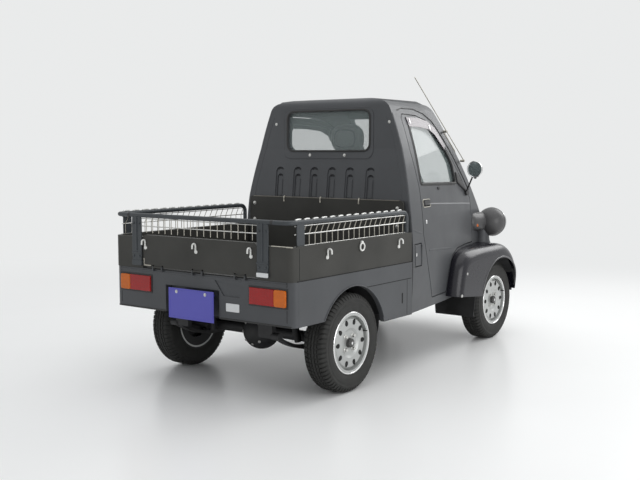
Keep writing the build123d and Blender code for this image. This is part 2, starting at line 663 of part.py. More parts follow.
screen_hole = Pos(behind(500), 0, 0) * extrude(front_face([
    (-SCREEN_LOW_HALF, SCREEN_LOW_Z), (SCREEN_LOW_HALF, SCREEN_LOW_Z),
    (SCREEN_TOP_HALF, SCREEN_TOP_Z), (-SCREEN_TOP_HALF, SCREEN_TOP_Z)]), 1000)
back_window = Rectangle(2 * BACK_WINDOW_HALF, BACK_WINDOW_TOP_Z - BACK_WINDOW_LOW_Z)
back_window = fillet(back_window.vertices(), BACK_WINDOW_CORNER)
back_window = Plane.YZ * (Pos(0, (BACK_WINDOW_TOP_Z + BACK_WINDOW_LOW_Z) / 2) * back_window)
back_hole = Pos(CAB_BACK_X - 20, 0, 0) * extrude(back_window, 130)


def channels(half, top):
    """Upright channels with round tops, one for each rib of the back panel."""
    pieces = []
    for y in RIB_PLACES:
        shape = make_face([
            Line((y - half, RIB_LOW_Z), (y - half, top - half)),
            ThreePointArc((y - half, top - half), (y, top), (y + half, top - half)),
            Line((y + half, top - half), (y + half, RIB_LOW_Z)),
            Line((y + half, RIB_LOW_Z), (y - half, RIB_LOW_Z)),
        ])
        pieces.append(Pos(CAB_BACK_X - 20, 0, 0) * extrude(Plane.YZ * shape, 100))
    return Compound(children=pieces)


# The ribs are pressed in, each a wide step and a narrower deeper one; the window's frame is pressed out
rib_step = channels(RIB_WIDE_HALF, RIB_WIDE_TOP_Z) - cab_form(RIB_STEP)
rib_floor = channels(RIB_HALF, RIB_TOP_Z) - cab_form(2 * RIB_STEP)
frame_low_z, frame_top_z = BACK_WINDOW_LOW_Z - WINDOW_FRAME_LOW, BACK_WINDOW_TOP_Z + WINDOW_FRAME_TOP
window_frame = Rectangle(2 * (BACK_WINDOW_HALF + WINDOW_FRAME_SIDE), frame_top_z - frame_low_z)
window_frame = fillet(window_frame.vertices(), BACK_WINDOW_CORNER)
window_frame = Plane.YZ * (Pos(0, (frame_low_z + frame_top_z) / 2) * window_frame)
window_frame = (cab_form(-WINDOW_FRAME_PROUD) - outer_form) & (Pos(CAB_BACK_X - 20, 0, 0) * extrude(window_frame, 100))

floor_top = SILL_Z + CAB_WALL
cab_floor = cab_walls & box(-2000, 2000, -800, 800, 0, floor_top)
seat_box_x0, seat_box_x1 = ENGINE_X0 - 30, ENGINE_X1 + 30
seat_box = box(seat_box_x0, seat_box_x1, -SEAT_BOX_HALF, SEAT_BOX_HALF, SILL_Z, SEAT_BOX_TOP_Z)
seat_space = box(seat_box_x0 + SEAT_BOX_WALL, seat_box_x1 - SEAT_BOX_WALL, -SEAT_BOX_HALF + SEAT_BOX_WALL,
                 SEAT_BOX_HALF - SEAT_BOX_WALL, 0, SEAT_BOX_TOP_Z - SEAT_BOX_WALL)
tunnel_x0 = CAB_BACK_X - 50
tunnel = box(CAB_BACK_X, seat_box_x0 + SEAT_BOX_WALL, -TUNNEL_HALF, TUNNEL_HALF, SILL_Z, TUNNEL_TOP_Z)
tunnel_space = box(tunnel_x0, seat_box_x0 + 2 * SEAT_BOX_WALL, SEAT_BOX_WALL - TUNNEL_HALF,
                   TUNNEL_HALF - SEAT_BOX_WALL, 0, TUNNEL_TOP_Z - SEAT_BOX_WALL)
parts["cab_floor"] = cab_floor + seat_box + tunnel - seat_space - tunnel_space - wheelhouse_cut

upper_walls = cab_walls - box(-2000, 2000, -800, 800, 0, floor_top)
back_panel = union([upper_walls & box(-2000, back_split_x, -800, 800, 0, 2000), *window_frame.solids()])
parts["cab_back_panel"] = back_panel - back_hole - tunnel - rib_step - rib_floor
front_walls = upper_walls - box(-2000, back_split_x, -800, 800, 0, 2000)
front_walls = front_walls - wheelhouse_cut - screen_hole - door_opening - mirrored(door_opening)
parts["nose_panel"] = front_walls & box(nose_split_x, 2000, -800, 800, 0, 2000)
parts["cab_shell"] = front_walls - box(nose_split_x, 2000, -800, 800, 0, 2000)

glass_skin = cab_form(GLASS_INSET) - cab_form(GLASS_INSET + GLASS_THICKNESS)
parts["cab_glass"] = Compound(children=[*(glass_skin & screen_hole).solids(), *(glass_skin & back_hole).solids()])

door = (cab_walls & slab(door_face, DOOR_INNER_Y, 700)) - window_hole
door_glass = glass_skin & window_hole
parts["door_left"] = door
parts["door_right"] = mirrored(door)
parts["door_glass_left"] = door_glass
parts["door_glass_right"] = mirrored(door_glass)

# Fuel filler lid in the right flank, behind the door
LID_OUTLINE = [(1186, 623), (1090, 623), (1090, 751), (1186, 751)]
LID_PIN_RADIUS = 1.2
LID_BARREL_RADIUS = 2.7
LID_PIN_PROUD = 0.7
lid_face = side_face([(behind(d), z) for d, z in LID_OUTLINE])
lid_pocket = slab(offset(lid_face, PANEL_GAP, kind=Kind.INTERSECTION), -700, -500)
lid_recess = (outer_form - cab_form(GLASS_INSET + GLASS_THICKNESS)) & lid_pocket
lid_panel = (outer_form - cab_form(GLASS_INSET)) & slab(lid_face, -700, -500)
pin_x = behind(LID_OUTLINE[1][0]) + PANEL_GAP / 2
pin_z0, pin_z1 = LID_OUTLINE[0][1] + 5, LID_OUTLINE[2][1] - 5
apex_x = CAB_BACK_X - TAPER_APEX
pin_y = -(CAB_HALF_WIDTH + (TAPER_APEX ** 2 - (pin_x - apex_x) ** 2) / (2 * TAPER_RADIUS) + LID_PIN_PROUD)
lid_pin = rod((pin_x, pin_y, pin_z0), (pin_x, pin_y, pin_z1), LID_PIN_RADIUS)
lid_lugs = [box(pin_x - LID_BARREL_RADIUS, pin_x + PANEL_GAP, pin_y - LID_BARREL_RADIUS, pin_y + LID_BARREL_RADIUS, z, z + LUG_WIDTH)
            for z in (pin_z0, pin_z1 - LUG_WIDTH)]
barrel_z0, barrel_z1 = pin_z0 + LUG_WIDTH + 1, pin_z1 - LUG_WIDTH - 1
lid_barrel = rod((pin_x, pin_y, barrel_z0), (pin_x, pin_y, barrel_z1), LID_BARREL_RADIUS)
lid_tab = box(pin_x - PANEL_GAP / 2 - 1, pin_x - LID_PIN_RADIUS, pin_y, pin_y + LID_BARREL_RADIUS, barrel_z0, barrel_z1)
lid_bore = rod((pin_x, pin_y, pin_z0), (pin_x, pin_y, pin_z1), LID_PIN_RADIUS + SEAL_GAP)
lid_notches = [box(pin_x - 8, pin_x, pin_y - 10, pin_y + 10, z, z + LUG_WIDTH + 2) for z in (pin_z0 - 1, pin_z1 - LUG_WIDTH - 1)]
parts["fuel_lid"] = union([lid_panel - lid_notches, lid_barrel, lid_tab]) - lid_bore
for name in ("cab_back_panel", "cab_shell"):
    parts[name] = parts[name] - lid_recess
parts["cab_shell"] = union([parts["cab_shell"], lid_pin, *lid_lugs])

# Smoked rain visors along the tops of the door windows
VISOR_OUTLINE = [
    (1004, 1512), (820, 1514), (668, 1497), (560, 1455), (452, 1345),
    (486, 1316), (596, 1412), (680, 1444), (824, 1456), (996, 1456),
]
visor = (cab_form(-VISOR_DEPTH) - outer_form) & slab(
    side_face([(behind(d), z) for d, z in VISOR_OUTLINE]), DOOR_INNER_Y, 700)
parts["door_visor_left"] = visor
parts["door_visor_right"] = mirrored(visor)


# Round mirrors on stalks from the front corners of the doors
def door_mirror():
    base = Vector(behind(196), 452, 1024)
    head = Vector(behind(316), MIRROR_Y, MIRROR_Z)
    foot = Pos(base.X, base.Y, base.Z) * (Rot(-80, 0, 12) * Cylinder(20, 26))
    stalk = rod(tuple(base), tuple(head), 5.5)
    shell = Pos(head.X, head.Y, head.Z) * (Rot(0, 90, 0) * Cylinder(MIRROR_RADIUS, 26))
    shell = fillet(shell.edges().sort_by(Axis.X)[-1], 22)
    return union([foot - outer_form, stalk - outer_form, shell])


parts["mirror_left"] = door_mirror()
parts["mirror_right"] = mirrored(parts["mirror_left"])

# Front wings: a rounded block over the wheel, hollowed, cut by the arch and by the cab's flank
WING_OUTLINE = [
    (641, 330), (635, 400), (611, 500), (559, 600), (500, 639), (430, 655), (264, 666), (60, WING_TOP_Z),
    (-90, 655), (-195, 596), (-262, 500), (-298, 390), (-308, 300),
]


def wing_block(inset):
    """The solid wing, moved in by an inset."""
    points = [Vector(behind(d), z) for d, z in WING_OUTLINE]
    moved = []
    for i, point in enumerate(points):
        along = points[min(i + 1, len(points) - 1)] - points[max(i - 1, 0)]
        moved.append(point + Vector(along.Y, -along.X).normalized() * inset)
    top = Spline(*moved)
    face = Plane.XZ * make_face([top, Polyline(top @ 1, (moved[-1].X, 150), (moved[0].X, 150), top @ 0)])
    outside = WING_HALF_WIDTH - inset
    block = slab(face, 200, outside)
    edge = block.edges().filter_by(lambda e: e.geom_type == GeomType.BSPLINE).sort_by(Axis.Y)[-1]
    return fillet(edge, WING_EDGE_RADIUS - inset)


def front_wing():
    arch = Pos(FRONT_AXLE_X, 0, AXLE_Z) * (Rot(90, 0, 0) * Cylinder(WING_LIP_RADIUS, 2000))
    below = side_face([(behind(700), 377), (behind(289), 335), (behind(289), 318), (behind(-340), 318),
                       (behind(-340), 0), (behind(700), 0)])
    wing = wing_block(0) - wing_block(WING_WALL) - arch - slab(below, 0, 800)
    wing = wing - outer_form - box(-2000, 2000, 0, WHEELHOUSE_HALF, 0, 2000)
    return wing.solids().sort_by(SortBy.VOLUME)[-1]


parts["front_wings"] = pair(front_wing())


# Liners of the wheelhouses
def liner(x, radius, first, last, y0, y1):
    ring = Pos(x, 0, AXLE_Z) * (Rot(90, 0, 0) * (Cylinder(radius, 4000) - Cylinder(radius - LINER_WALL, 4000)))
    wedge = [(x, AXLE_Z)]
    steps = 6
    for i in range(steps + 1):
        a = radians(first + (last - first) * i / steps)
        wedge.append((x + 900 * cos(a), AXLE_Z + 900 * sin(a)))
    return ring & slab(side_face(wedge), y0, y1)


front_liner = liner(FRONT_AXLE_X, WHEELHOUSE_RADIUS, 20, 194, WHEELHOUSE_HALF, WING_HALF_WIDTH - 50)
front_liner = front_liner - (wing_block(0) - wing_block(WING_WALL))
parts["front_wheel_liners"] = pair(front_liner.solids().sort_by(SortBy.VOLUME)[-1])

# Headlamp pods on the wings and the flanks, each a ball with a neck and an indicator beside it
LAMP_SETBACK = 160.0
LAMP_RISE = 137.0
LAMP_RADIUS = 102.5
LAMP_NECK_RADIUS = 80.0
LAMP_WALL = 6.0
LAMP_FACE = 55.0
LAMP_NECK_X = behind(90)
LAMP = Vector(behind(-145), WING_HALF_WIDTH - LAMP_SETBACK, WING_TOP_Z + LAMP_RISE)


def bowl(radius, wall, face):
    """A hollow ball about the lamp's middle, open towards the front."""
    ball = Sphere(radius) - box(face, 300, -300, 300, -300, 300)
    room = Sphere(radius - wall) & box(0, 300, -300, 300, -300, 300)
    return Pos(LAMP.X, LAMP.Y, LAMP.Z) * (ball - room)


def lens(radius, thickness, face, bulge):
    """A shallow bulging disc in the mouth of the bowl."""
    reach = sqrt(radius ** 2 - face ** 2)
    section = make_face(Polyline(
        (0, face + bulge), (reach * 0.35, face + bulge * 0.9), (reach * 0.65, face + bulge * 0.6),
        (reach * 0.86, face + bulge * 0.28), (reach, face), (reach, face - thickness), (0, face - thickness), close=True))
    return Pos(LAMP.X, LAMP.Y, LAMP.Z) * (Rot(0, 90, 0) * revolve(Plane.XZ * section, Axis.Z))


lamp_neck = rod((LAMP_NECK_X, LAMP.Y - 25, LAMP.Z - 5), tuple(LAMP), LAMP_NECK_RADIUS)
lamp_neck = fillet(lamp_neck.edges().sort_by(Axis.X)[0], 30)
lamp_foot = box(LAMP_NECK_X + 50, LAMP.X + 20, LAMP.Y - 60, LAMP.Y + 30, WING_TOP_Z - 20, LAMP.Z)
lamp_body = bowl(LAMP_RADIUS, LAMP_WALL, LAMP_FACE)
lamp_room = Pos(LAMP.X, LAMP.Y, LAMP.Z) * Sphere(LAMP_RADIUS - LAMP_WALL / 2)
pod = lamp_body + ((lamp_neck + lamp_foot) - lamp_room)
pod = pod - outer_form - wing_block(0)
indicator_y = LAMP.Y + 62
indicator = rod((LAMP.X - 112, indicator_y - 6, LAMP.Z), (LAMP.X - 112, indicator_y + 30, LAMP.Z), 26)
indicator = fillet(indicator.edges().sort_by(Axis.Y)[-1], 8)
parts["headlamp_pods"] = pair((pod - indicator).solids().sort_by(SortBy.VOLUME)[-1])
parts["headlamp_lenses"] = pair(lens(LAMP_RADIUS - LAMP_WALL - SEAL_GAP, 5, LAMP_FACE - 6, 20))


# Front bumper: a slim bar on each side of the spare wheel, on an iron from its rail.
# Its bow is a step back from the lead and a distance from the centre line.
NOSE_TIP_X = FRONT_AXLE_X + NOSE_REACH
BUMPER_BOW = [(0, 100), (2, WING_HALF_WIDTH - 310), (14, WING_HALF_WIDTH - 80)]


def front_bumper():
    inner, middle, outer = [(NOSE_TIP_X + BUMPER_LEAD - bow, y) for bow, y in BUMPER_BOW]
    back = [(x - BUMPER_DEPTH, y) for x, y in (outer, middle, inner)]
    plan = make_face([ThreePointArc(inner, middle, outer), Line(outer, back[0]), ThreePointArc(*back), Line(back[2], inner)])
    bar = Pos(0, 0, BUMPER_LOW_Z) * extrude(plan, BUMPER_HEIGHT)
    iron = box(RAIL_FRONT_X, inner[0] - BUMPER_DEPTH / 2, RAIL_Y - 14, RAIL_Y + 14, RAIL_LOW_Z - 40, RAIL_LOW_Z - 8)
    return bar + iron


parts["front_bumper"] = pair(front_bumper())

# Spare wheel on the nose, lying against it in a shallow dish
SPARE_X = FRONT_END_X - SPARE_WIDTH
spare_room = rod((SPARE_X - 12, 0, SPARE_Z), (2000, 0, SPARE_Z), SPARE_RADIUS + 10)
dish_outer = rod((SPARE_X - 18, 0, SPARE_Z), (SPARE_X - 12, 0, SPARE_Z), SPARE_RADIUS + 10) & outer_form
for name in ("nose_panel", "cab_floor", "front_bumper"):
    parts[name] = parts[name] - spare_room
parts["nose_panel"] = parts["nose_panel"] + (dish_outer - parts["cab_floor"])
spare_section = Plane.XZ * make_face([
    Line((SPARE_RADIUS * 0.6, 14), (SPARE_RADIUS - 28, 0)),
    ThreePointArc((SPARE_RADIUS - 28, 0), (SPARE_RADIUS - 7, 8), (SPARE_RADIUS, 24)),
    Line((SPARE_RADIUS, 24), (SPARE_RADIUS, SPARE_WIDTH - 24)),
    ThreePointArc((SPARE_RADIUS, SPARE_WIDTH - 24), (SPARE_RADIUS - 7, SPARE_WIDTH - 8), (SPARE_RADIUS - 28, SPARE_WIDTH)),
    Line((SPARE_RADIUS - 28, SPARE_WIDTH), (SPARE_RADIUS * 0.6, SPARE_WIDTH - 14)),
    Line((SPARE_RADIUS * 0.6, SPARE_WIDTH - 14), (SPARE_RADIUS * 0.6, 14)),
])
spare_place = Pos(SPARE_X, 0, SPARE_Z) * Rot(0, 90, 0)
parts["spare_tyre"] = spare_place * revolve(spare_section, Axis.Z)
spare_hub = Pos(0, 0, 30) * Cylinder(SPARE_RADIUS * 0.6 - SEAL_GAP, 50, align=(Align.CENTER, Align.CENTER, Align.MIN))
spare_hub = fillet(spare_hub.edges().sort_by(Axis.Z)[-1], 12)
spare_bolt = Pos(0, 0, -12) * Cylinder(26, 50, align=(Align.CENTER, Align.CENTER, Align.MIN))
parts["spare_wheel"] = spare_place * union([spare_hub, spare_bolt])


# Lower body: a skirt round the bed, with the wheel arches, the plate recess and the lamp pockets
def arch(x, radius):
    return Pos(x, 0, AXLE_Z) * (Rot(90, 0, 0) * Cylinder(radius, 4000))


def walls(x0, x1, half, wall, corner, z0, z1):
    """Two side walls and a rear wall, with rounded rear corners and an open front."""
    outer = box(x0, x1, -half, half, z0, z1)
    outer = fillet(outer.edges().filter_by(Axis.Z).group_by(Axis.X)[0], corner)
    inner = box(x0 + wall, x1 + 1, wall - half, half - wall, z0 - 1, z1 + 1)
    inner = fillet(inner.edges().filter_by(Axis.Z).group_by(Axis.X)[0], corner - wall)
    return outer - inner


def lower_body():
    body = walls(LOWER_REAR_X, BED_FRONT_X, HALF_WIDTH, LOWER_WALL, CORNER_RADIUS, SILL_Z, SHOULDER_Z)
    body = body - arch(REAR_AXLE_X, ARCH_RADIUS)
    body = body - box(LOWER_REAR_X - 1, REAR_AXLE_X - 200, -700, 700, SILL_Z - 1, LOWER_REAR_Z)
    pan_x = LOWER_REAR_X + PLATE_RECESS
    y0, y1, z0, z1 = PLATE_Y0 - 20, PLATE_Y1 + 45, LOWER_REAR_Z - 1, PLATE_Z1 + 8
    body = body - box(LOWER_REAR_X - 1, pan_x, y0, y1, z0, z1)
    pan = box(LOWER_REAR_X + 8, pan_x + 4, y0 - 4, y1 + 4, LOWER_REAR_Z, z1 + 4)
    return union([body, pan - box(LOWER_REAR_X, pan_x, y0, y1, z0, z1)])


lamp_pocket = box(LOWER_REAR_X - 1, LOWER_REAR_X + LAMP_DEPTH, TAIL_LAMP_Y0, TAIL_LAMP_Y1, TAIL_LAMP_Z0, TAIL_LAMP_Z1)
chevron = extrude(Pos(LOWER_REAR_X + CHEVRON_DEPTH, 0, 0) * front_face(CHEVRON_OUTLINE), -20)
gate_lugs = []
for y in HINGE_PLACES:
    gate_lugs.append(rod((GATE_PIN_X, y - HINGE_REACH, GATE_PIN_Z), (GATE_PIN_X, y + HINGE_REACH, GATE_PIN_Z), HINGE_PIN_RADIUS))
    for y0 in (y - HINGE_REACH, y + HINGE_REACH - LUG_WIDTH):
        gate_lugs.append(box(GATE_PIN_X - TAILGATE_PIN_RADIUS, LOWER_REAR_X + 1, y0, y0 + LUG_WIDTH,
                             GATE_PIN_Z - 22, GATE_PIN_Z + TAILGATE_PIN_RADIUS))
parts["lower_body"] = union([lower_body() - lamp_pocket - mirrored(lamp_pocket) - chevron, *gate_lugs])

# Tail lamps: a dark frame in the pocket, a red and an amber lens standing out of it
rim_y0, rim_y1 = TAIL_LAMP_Y0 + TAIL_LAMP_RIM, TAIL_LAMP_Y1 - TAIL_LAMP_RIM
rim_z0, rim_z1 = TAIL_LAMP_Z0 + TAIL_LAMP_RIM, TAIL_LAMP_Z1 - TAIL_LAMP_RIM
frame = box(LOWER_REAR_X - 3, LOWER_REAR_X + LAMP_DEPTH, TAIL_LAMP_Y0, TAIL_LAMP_Y1, TAIL_LAMP_Z0, TAIL_LAMP_Z1)
frame = frame - box(LOWER_REAR_X - 4, LOWER_REAR_X + LAMP_DEPTH - 5, rim_y0, rim_y1, rim_z0, rim_z1)
parts["tail_lamp_frames"] = pair(frame)
lens_x0, lens_x1 = LOWER_REAR_X - TAIL_LENS_PROUD, LOWER_REAR_X + LAMP_DEPTH - 5
red = box(lens_x0, lens_x1, rim_y0, TAIL_LAMP_SPLIT_Y, rim_z0, rim_z1)
amber = box(lens_x0, lens_x1, TAIL_LAMP_SPLIT_Y, rim_y1, rim_z0, rim_z1)
parts["tail_lenses_red"] = pair(fillet(red.edges().group_by(Axis.X)[0], 5))
parts["amber_lenses"] = Compound(children=[*pair(fillet(amber.edges().group_by(Axis.X)[0], 5)).solids(), *pair(indicator).solids()])

# Blank number plate on two pegs in its recess
plate = box(REAR_END_X, REAR_END_X + 3, PLATE_Y0, PLATE_Y1, PLATE_Z0, PLATE_Z1)
pegs = [rod((REAR_END_X + 1, y, PLATE_Z1 - 30), (LOWER_REAR_X + PLATE_RECESS, y, PLATE_Z1 - 30), 8)
        for y in (PLATE_Y0 + 60, PLATE_Y1 - 60)]
parts["number_plate"] = union([plate, *pegs])

# Bed: floor on the beams, side walls with corner returns, headboard and tailgate
floor_half = BED_HALF_WIDTH - BED_WALL
headboard_x = BED_FRONT_X - HEADBOARD_THICKNESS
bed_floor = box(LOWER_REAR_X + LOWER_WALL, headboard_x, -floor_half, floor_half, RAIL_HIGH_Z + BED_BEAM, SHOULDER_Z)
parts["bed_floor"] = fillet(bed_floor.edges().filter_by(Axis.Z).group_by(Axis.X)[0], CORNER_RADIUS - LOWER_WALL)
bed_sides = walls(BED_REAR_X, BED_FRONT_X, BED_HALF_WIDTH, BED_WALL, CORNER_RADIUS, SHOULDER_Z, BED_TOP_Z)
gate_room = TAILGATE_HALF_WIDTH + PANEL_GAP
bed_sides = bed_sides - box(BED_REAR_X - 1, BED_REAR_X + 200, -gate_room, gate_room, 0, 2000)
headboard = box(headboard_x, BED_FRONT_X, -HEADBOARD_HALF_WIDTH, HEADBOARD_HALF_WIDTH,
                RAIL_HIGH_Z + BED_BEAM, HEADBOARD_TOP_Z)
headboard = fillet(headboard.edges().filter_by(Axis.X).group_by(Axis.Z)[-1], 20)
parts["bed_walls"] = Compound(children=[*bed_sides.solids(), *headboard.solids()])
gate = box(BED_REAR_X, BED_REAR_X + TAILGATE_THICKNESS, -TAILGATE_HALF_WIDTH, TAILGATE_HALF_WIDTH, GATE_PIN_Z, TAILGATE_TOP_Z)
gate = fillet(gate.edges().filter_by(Axis.X).group_by(Axis.Z)[-1], 18)
notches = [box(BED_REAR_X - 1, BED_REAR_X + TAILGATE_THICKNESS + 1, y - HINGE_REACH - 5, y - BARREL_REACH, 0, GATE_PIN_Z + 12)
           for y in HINGE_PLACES]
notches += [box(BED_REAR_X - 1, BED_REAR_X + TAILGATE_THICKNESS + 1, y + BARREL_REACH, y + HINGE_REACH + 5, 0, GATE_PIN_Z + 12)
            for y in HINGE_PLACES]
barrels = [rod((GATE_PIN_X, y - BARREL_REACH, GATE_PIN_Z), (GATE_PIN_X, y + BARREL_REACH, GATE_PIN_Z), TAILGATE_PIN_RADIUS)
           for y in HINGE_PLACES]
bores = [rod((GATE_PIN_X, y - HINGE_REACH, GATE_PIN_Z), (GATE_PIN_X, y + HINGE_REACH, GATE_PIN_Z), HINGE_PIN_RADIUS + SEAL_GAP)
         for y in HINGE_PLACES]
parts["tailgate"] = union([gate - notches, *barrels]) - bores


# Hooks for ropes: a small round bar bent into a hook
def hook():
    """A hook on a wall that faces -X at x = 0, its eye at the origin."""
    path = FilletPolyline((0, 0, 0), (-HOOK_REACH, 0, 0), (-HOOK_REACH, 0, -HOOK_DROP), radius=8)
    bar = sweep(Plane(origin=path @ 0, z_dir=path % 0) * Circle(HOOK_RADIUS), path=path)
    return bar + Pos(-HOOK_REACH, 0, -HOOK_DROP) * Sphere(HOOK_RADIUS + 1.5)


parts["tailgate_hooks"] = Compound(children=[Pos(BED_REAR_X, y, HOOK_Z) * hook() for y in (-371, 12, 391)])
side_hook = Rot(0, 0, 90) * hook()
parts["side_hooks"] = Compound(children=[
    Pos(REAR_AXLE_X + x, -BED_HALF_WIDTH, HOOK_Z - 15) * side_hook for x in (-221, 90, 478)] + [
    Pos(REAR_AXLE_X + x, BED_HALF_WIDTH, HOOK_Z - 15) * (Rot(0, 0, 180) * side_hook) for x in (-221, 90, 478)])


# Rack: a bent pipe round the bed, on two flat posts at the rear and two round ones at the front
def rack_frame():
    y, z = RACK_HALF_WIDTH, RACK_Z
    loop = pipe([(RACK_FRONT_X, -y, BED_TOP_Z), (RACK_FRONT_X, -y, z), (RACK_REAR_X, -y, z),
                 (RACK_REAR_X, y, z), (RACK_FRONT_X, y, z), (RACK_FRONT_X, y, BED_TOP_Z)], RACK_CORNER, RACK_PIPE_RADIUS)
    post = box(RACK_REAR_X - POST_THICKNESS, RACK_REAR_X, POST_Y0, POST_Y0 + POST_WIDTH, POST_LOW_Z, z)
    stays = [rod((x, y, BED_TOP_Z), (x, y, z), 7) for x in (REAR_AXLE_X - 490, REAR_AXLE_X)]
    return union([loop, post, mirrored(post), *stays, *[mirrored(stay) for stay in stays]])


parts["rack_frame"] = rack_frame()


# Wire mesh inside the rack: level wires and upright wires on three sides
def rack_mesh():
    y, top = RACK_HALF_WIDTH, RACK_Z - RACK_PIPE_RADIUS + 1
    x0, x1 = RACK_REAR_X + RACK_CORNER, RACK_FRONT_X
    wires = []
    for z in (MESH_TOP_Z, MESH_MID_Z, BED_TOP_Z + WIRE_RADIUS):
        wires.append(rod((x0, y, z), (x1, y, z), WIRE_RADIUS))
    for i in range(int((x1 - x0) / WIRE_PITCH)):
        x = x0 + (i + 0.5) * WIRE_PITCH
        wires.append(rod((x, y, BED_TOP_Z), (x, y, top), WIRE_RADIUS * 0.8))
    sides = union(wires)
    half = POST_Y0
    rear = []
    for z in (MESH_TOP_Z, MESH_MID_Z):
        rear.append(rod((RACK_REAR_X - 2, -half - 4, z), (RACK_REAR_X - 2, half + 4, z), WIRE_RADIUS))
    count = int(2 * half / WIRE_PITCH)
    for i in range(count):
        w = (i - (count - 1) / 2) * WIRE_PITCH
        rear.append(rod((RACK_REAR_X - 2, w, TAILGATE_TOP_Z + 12), (RACK_REAR_X - 2, w, top), WIRE_RADIUS * 0.8))
    return [sides, mirrored(sides), union(rear)]


mesh_panels = rack_mesh()
parts["rack_mesh"] = Compound(children=[solid for panel in mesh_panels for solid in (panel - parts["rack_frame"]).solids()])


# Seat over the engine box
def seat():
    cushion = box(SEAT_BACK_X + 30, SEAT_FRONT_X, -SEAT_HALF, SEAT_HALF, SEAT_BOX_TOP_Z, SEAT_TOP_Z)
    cushion = fillet(cushion.edges().group_by(Axis.Z)[-1] + cushion.edges().filter_by(Axis.Z), 32)
    back = side_face([(SEAT_BACK_X, SEAT_BOX_TOP_Z + 2), (SEAT_BACK_X + 110, SEAT_BOX_TOP_Z + 2),
                      (SEAT_BACK_X + 40, SEAT_SHOULDER_Z), (SEAT_BACK_X - 65, SEAT_SHOULDER_Z)])
    back = slab(back, -SEAT_HALF, SEAT_HALF)
    back = fillet(back.edges().group_by(Axis.Z)[-1], 40)
    head_x = SEAT_BACK_X - 50
    head = box(head_x, head_x + 75, -HEADREST_HALF, HEADREST_HALF, SEAT_SHOULDER_Z + 22, HEADREST_TOP_Z)
    head = fillet(head.edges(), 28)
    stems = [rod((head_x + 38, y, SEAT_SHOULDER_Z - 20), (head_x + 38, y, SEAT_SHOULDER_Z + 60), 6) for y in (-50, 50)]
    return union([cushion, back, head, *stems])


parts["seat"] = seat()


# Dashboard with the column's shroud, and the steering wheel in front of it
def dashboard():
    profile = side_face([(DASH_X0, DASH_LOW_Z + 60), (DASH_X0 + 20, DASH_TOP_Z - 40), (DASH_X0 + 70, DASH_TOP_Z),
                         (NOSE_TIP_X, DASH_TOP_Z - 30), (NOSE_TIP_X, DASH_LOW_Z), (DASH_X0 + 60, DASH_LOW_Z)])
    blank = slab(profile, -700, 700)
    dash = blank & cab_form(CAB_WALL + PANEL_GAP + 2)
    cowl = (blank & cab_form(CAB_WALL + SEAL_GAP)) - box(0, behind(DOOR_OUTLINE[13][0]) + 2 * PANEL_GAP, -700, 700, 0, 2000)
    column = rod(tuple(WHEEL_CENTRE + WHEEL_AXIS * (WHEEL_BOSS_FRONT + SEAL_GAP)), tuple(WHEEL_CENTRE + WHEEL_AXIS * 240), 30)
    hood = box(DASH_X0 + 10, DASH_X0 + 140, -150, 150, DASH_TOP_Z - 60, DASH_TOP_Z + 45)
    hood = fillet(hood.edges().group_by(Axis.Z)[-1], 30)
    return union([dash, cowl, column, hood])


WHEEL_BOSS_FRONT = 24.0
WHEEL_CENTRE = Vector(DASH_X0 - 95, 0, DASH_TOP_Z + 5)
WHEEL_AXIS = Vector(cos(radians(WHEEL_RAKE)), 0, -sin(radians(WHEEL_RAKE)))
parts["dashboard"] = dashboard()
wheel_plane = Plane(origin=WHEEL_CENTRE, x_dir=(0, 1, 0), z_dir=WHEEL_AXIS)
hoop = Torus(WHEEL_RADIUS, WHEEL_GRIP)
boss = Pos(0, 0, 2) * Cylinder(42, 2 * (WHEEL_BOSS_FRONT - 2))
spokes = [Rot(0, 0, a) * Pos(WHEEL_RADIUS / 2, 0, 0) * Box(WHEEL_RADIUS, 26, 8) for a in (0, 90, 180)]
parts["steering_wheel"] = wheel_plane * union([hoop, boss, *spokes])

# Aerial on the right pillar and the wiper on the screen
aerial_low, aerial_high = Vector(behind(190), -421, 1240), Vector(behind(405), -402, 1436)
aerial_run = (aerial_high - aerial_low).normalized()
aerial_side = Vector(0, -9, 0)
parts["aerial"] = union([
    rod(tuple(aerial_low + aerial_side), tuple(aerial_low + aerial_side + aerial_run * AERIAL_LENGTH), 3),
    rod(tuple(aerial_low - aerial_side * 2), tuple(aerial_low + aerial_side * 1.2), 8),
    rod(tuple(aerial_high - aerial_side * 2), tuple(aerial_high + aerial_side * 1.2), 8),
]) - outer_form
wiper_z = SCREEN_LOW_Z + 18
wiper_x = screen_x(wiper_z)
screen_run = Vector(-cos(radians(SCREEN_ANGLE)), 0, sin(radians(SCREEN_ANGLE)))
screen_out = Vector(sin(radians(SCREEN_ANGLE)), 0, cos(radians(SCREEN_ANGLE)))
wiper_pivot = Vector(wiper_x, 0, wiper_z) - screen_run * 50
wiper_tip = wiper_pivot + screen_run * 330 + screen_out * 13
parts["wiper"] = union([
    rod(tuple(wiper_pivot - screen_out * 20), tuple(wiper_pivot + screen_out * 26), 14),
    rod(tuple(wiper_pivot + screen_out * 20), tuple(wiper_tip + screen_out * 4), 5),
    rod(tuple(wiper_tip - screen_run * 200), tuple(wiper_tip + screen_run * 190), 5),
]) - outer_form


os.makedirs("parts", exist_ok=True)
for name, solid in parts.items():
    export_step(solid, "parts/" + name + ".step")
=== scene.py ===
"""Looks of a very small one-seat pickup truck: finishes, fittings, soft seat, studio and camera."""

from __future__ import annotations

import json
import logging
import math
from dataclasses import dataclass
from enum import Enum
from typing import Sequence

import bpy
import numpy as np
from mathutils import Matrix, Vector
from mathutils.bvhtree import BVHTree

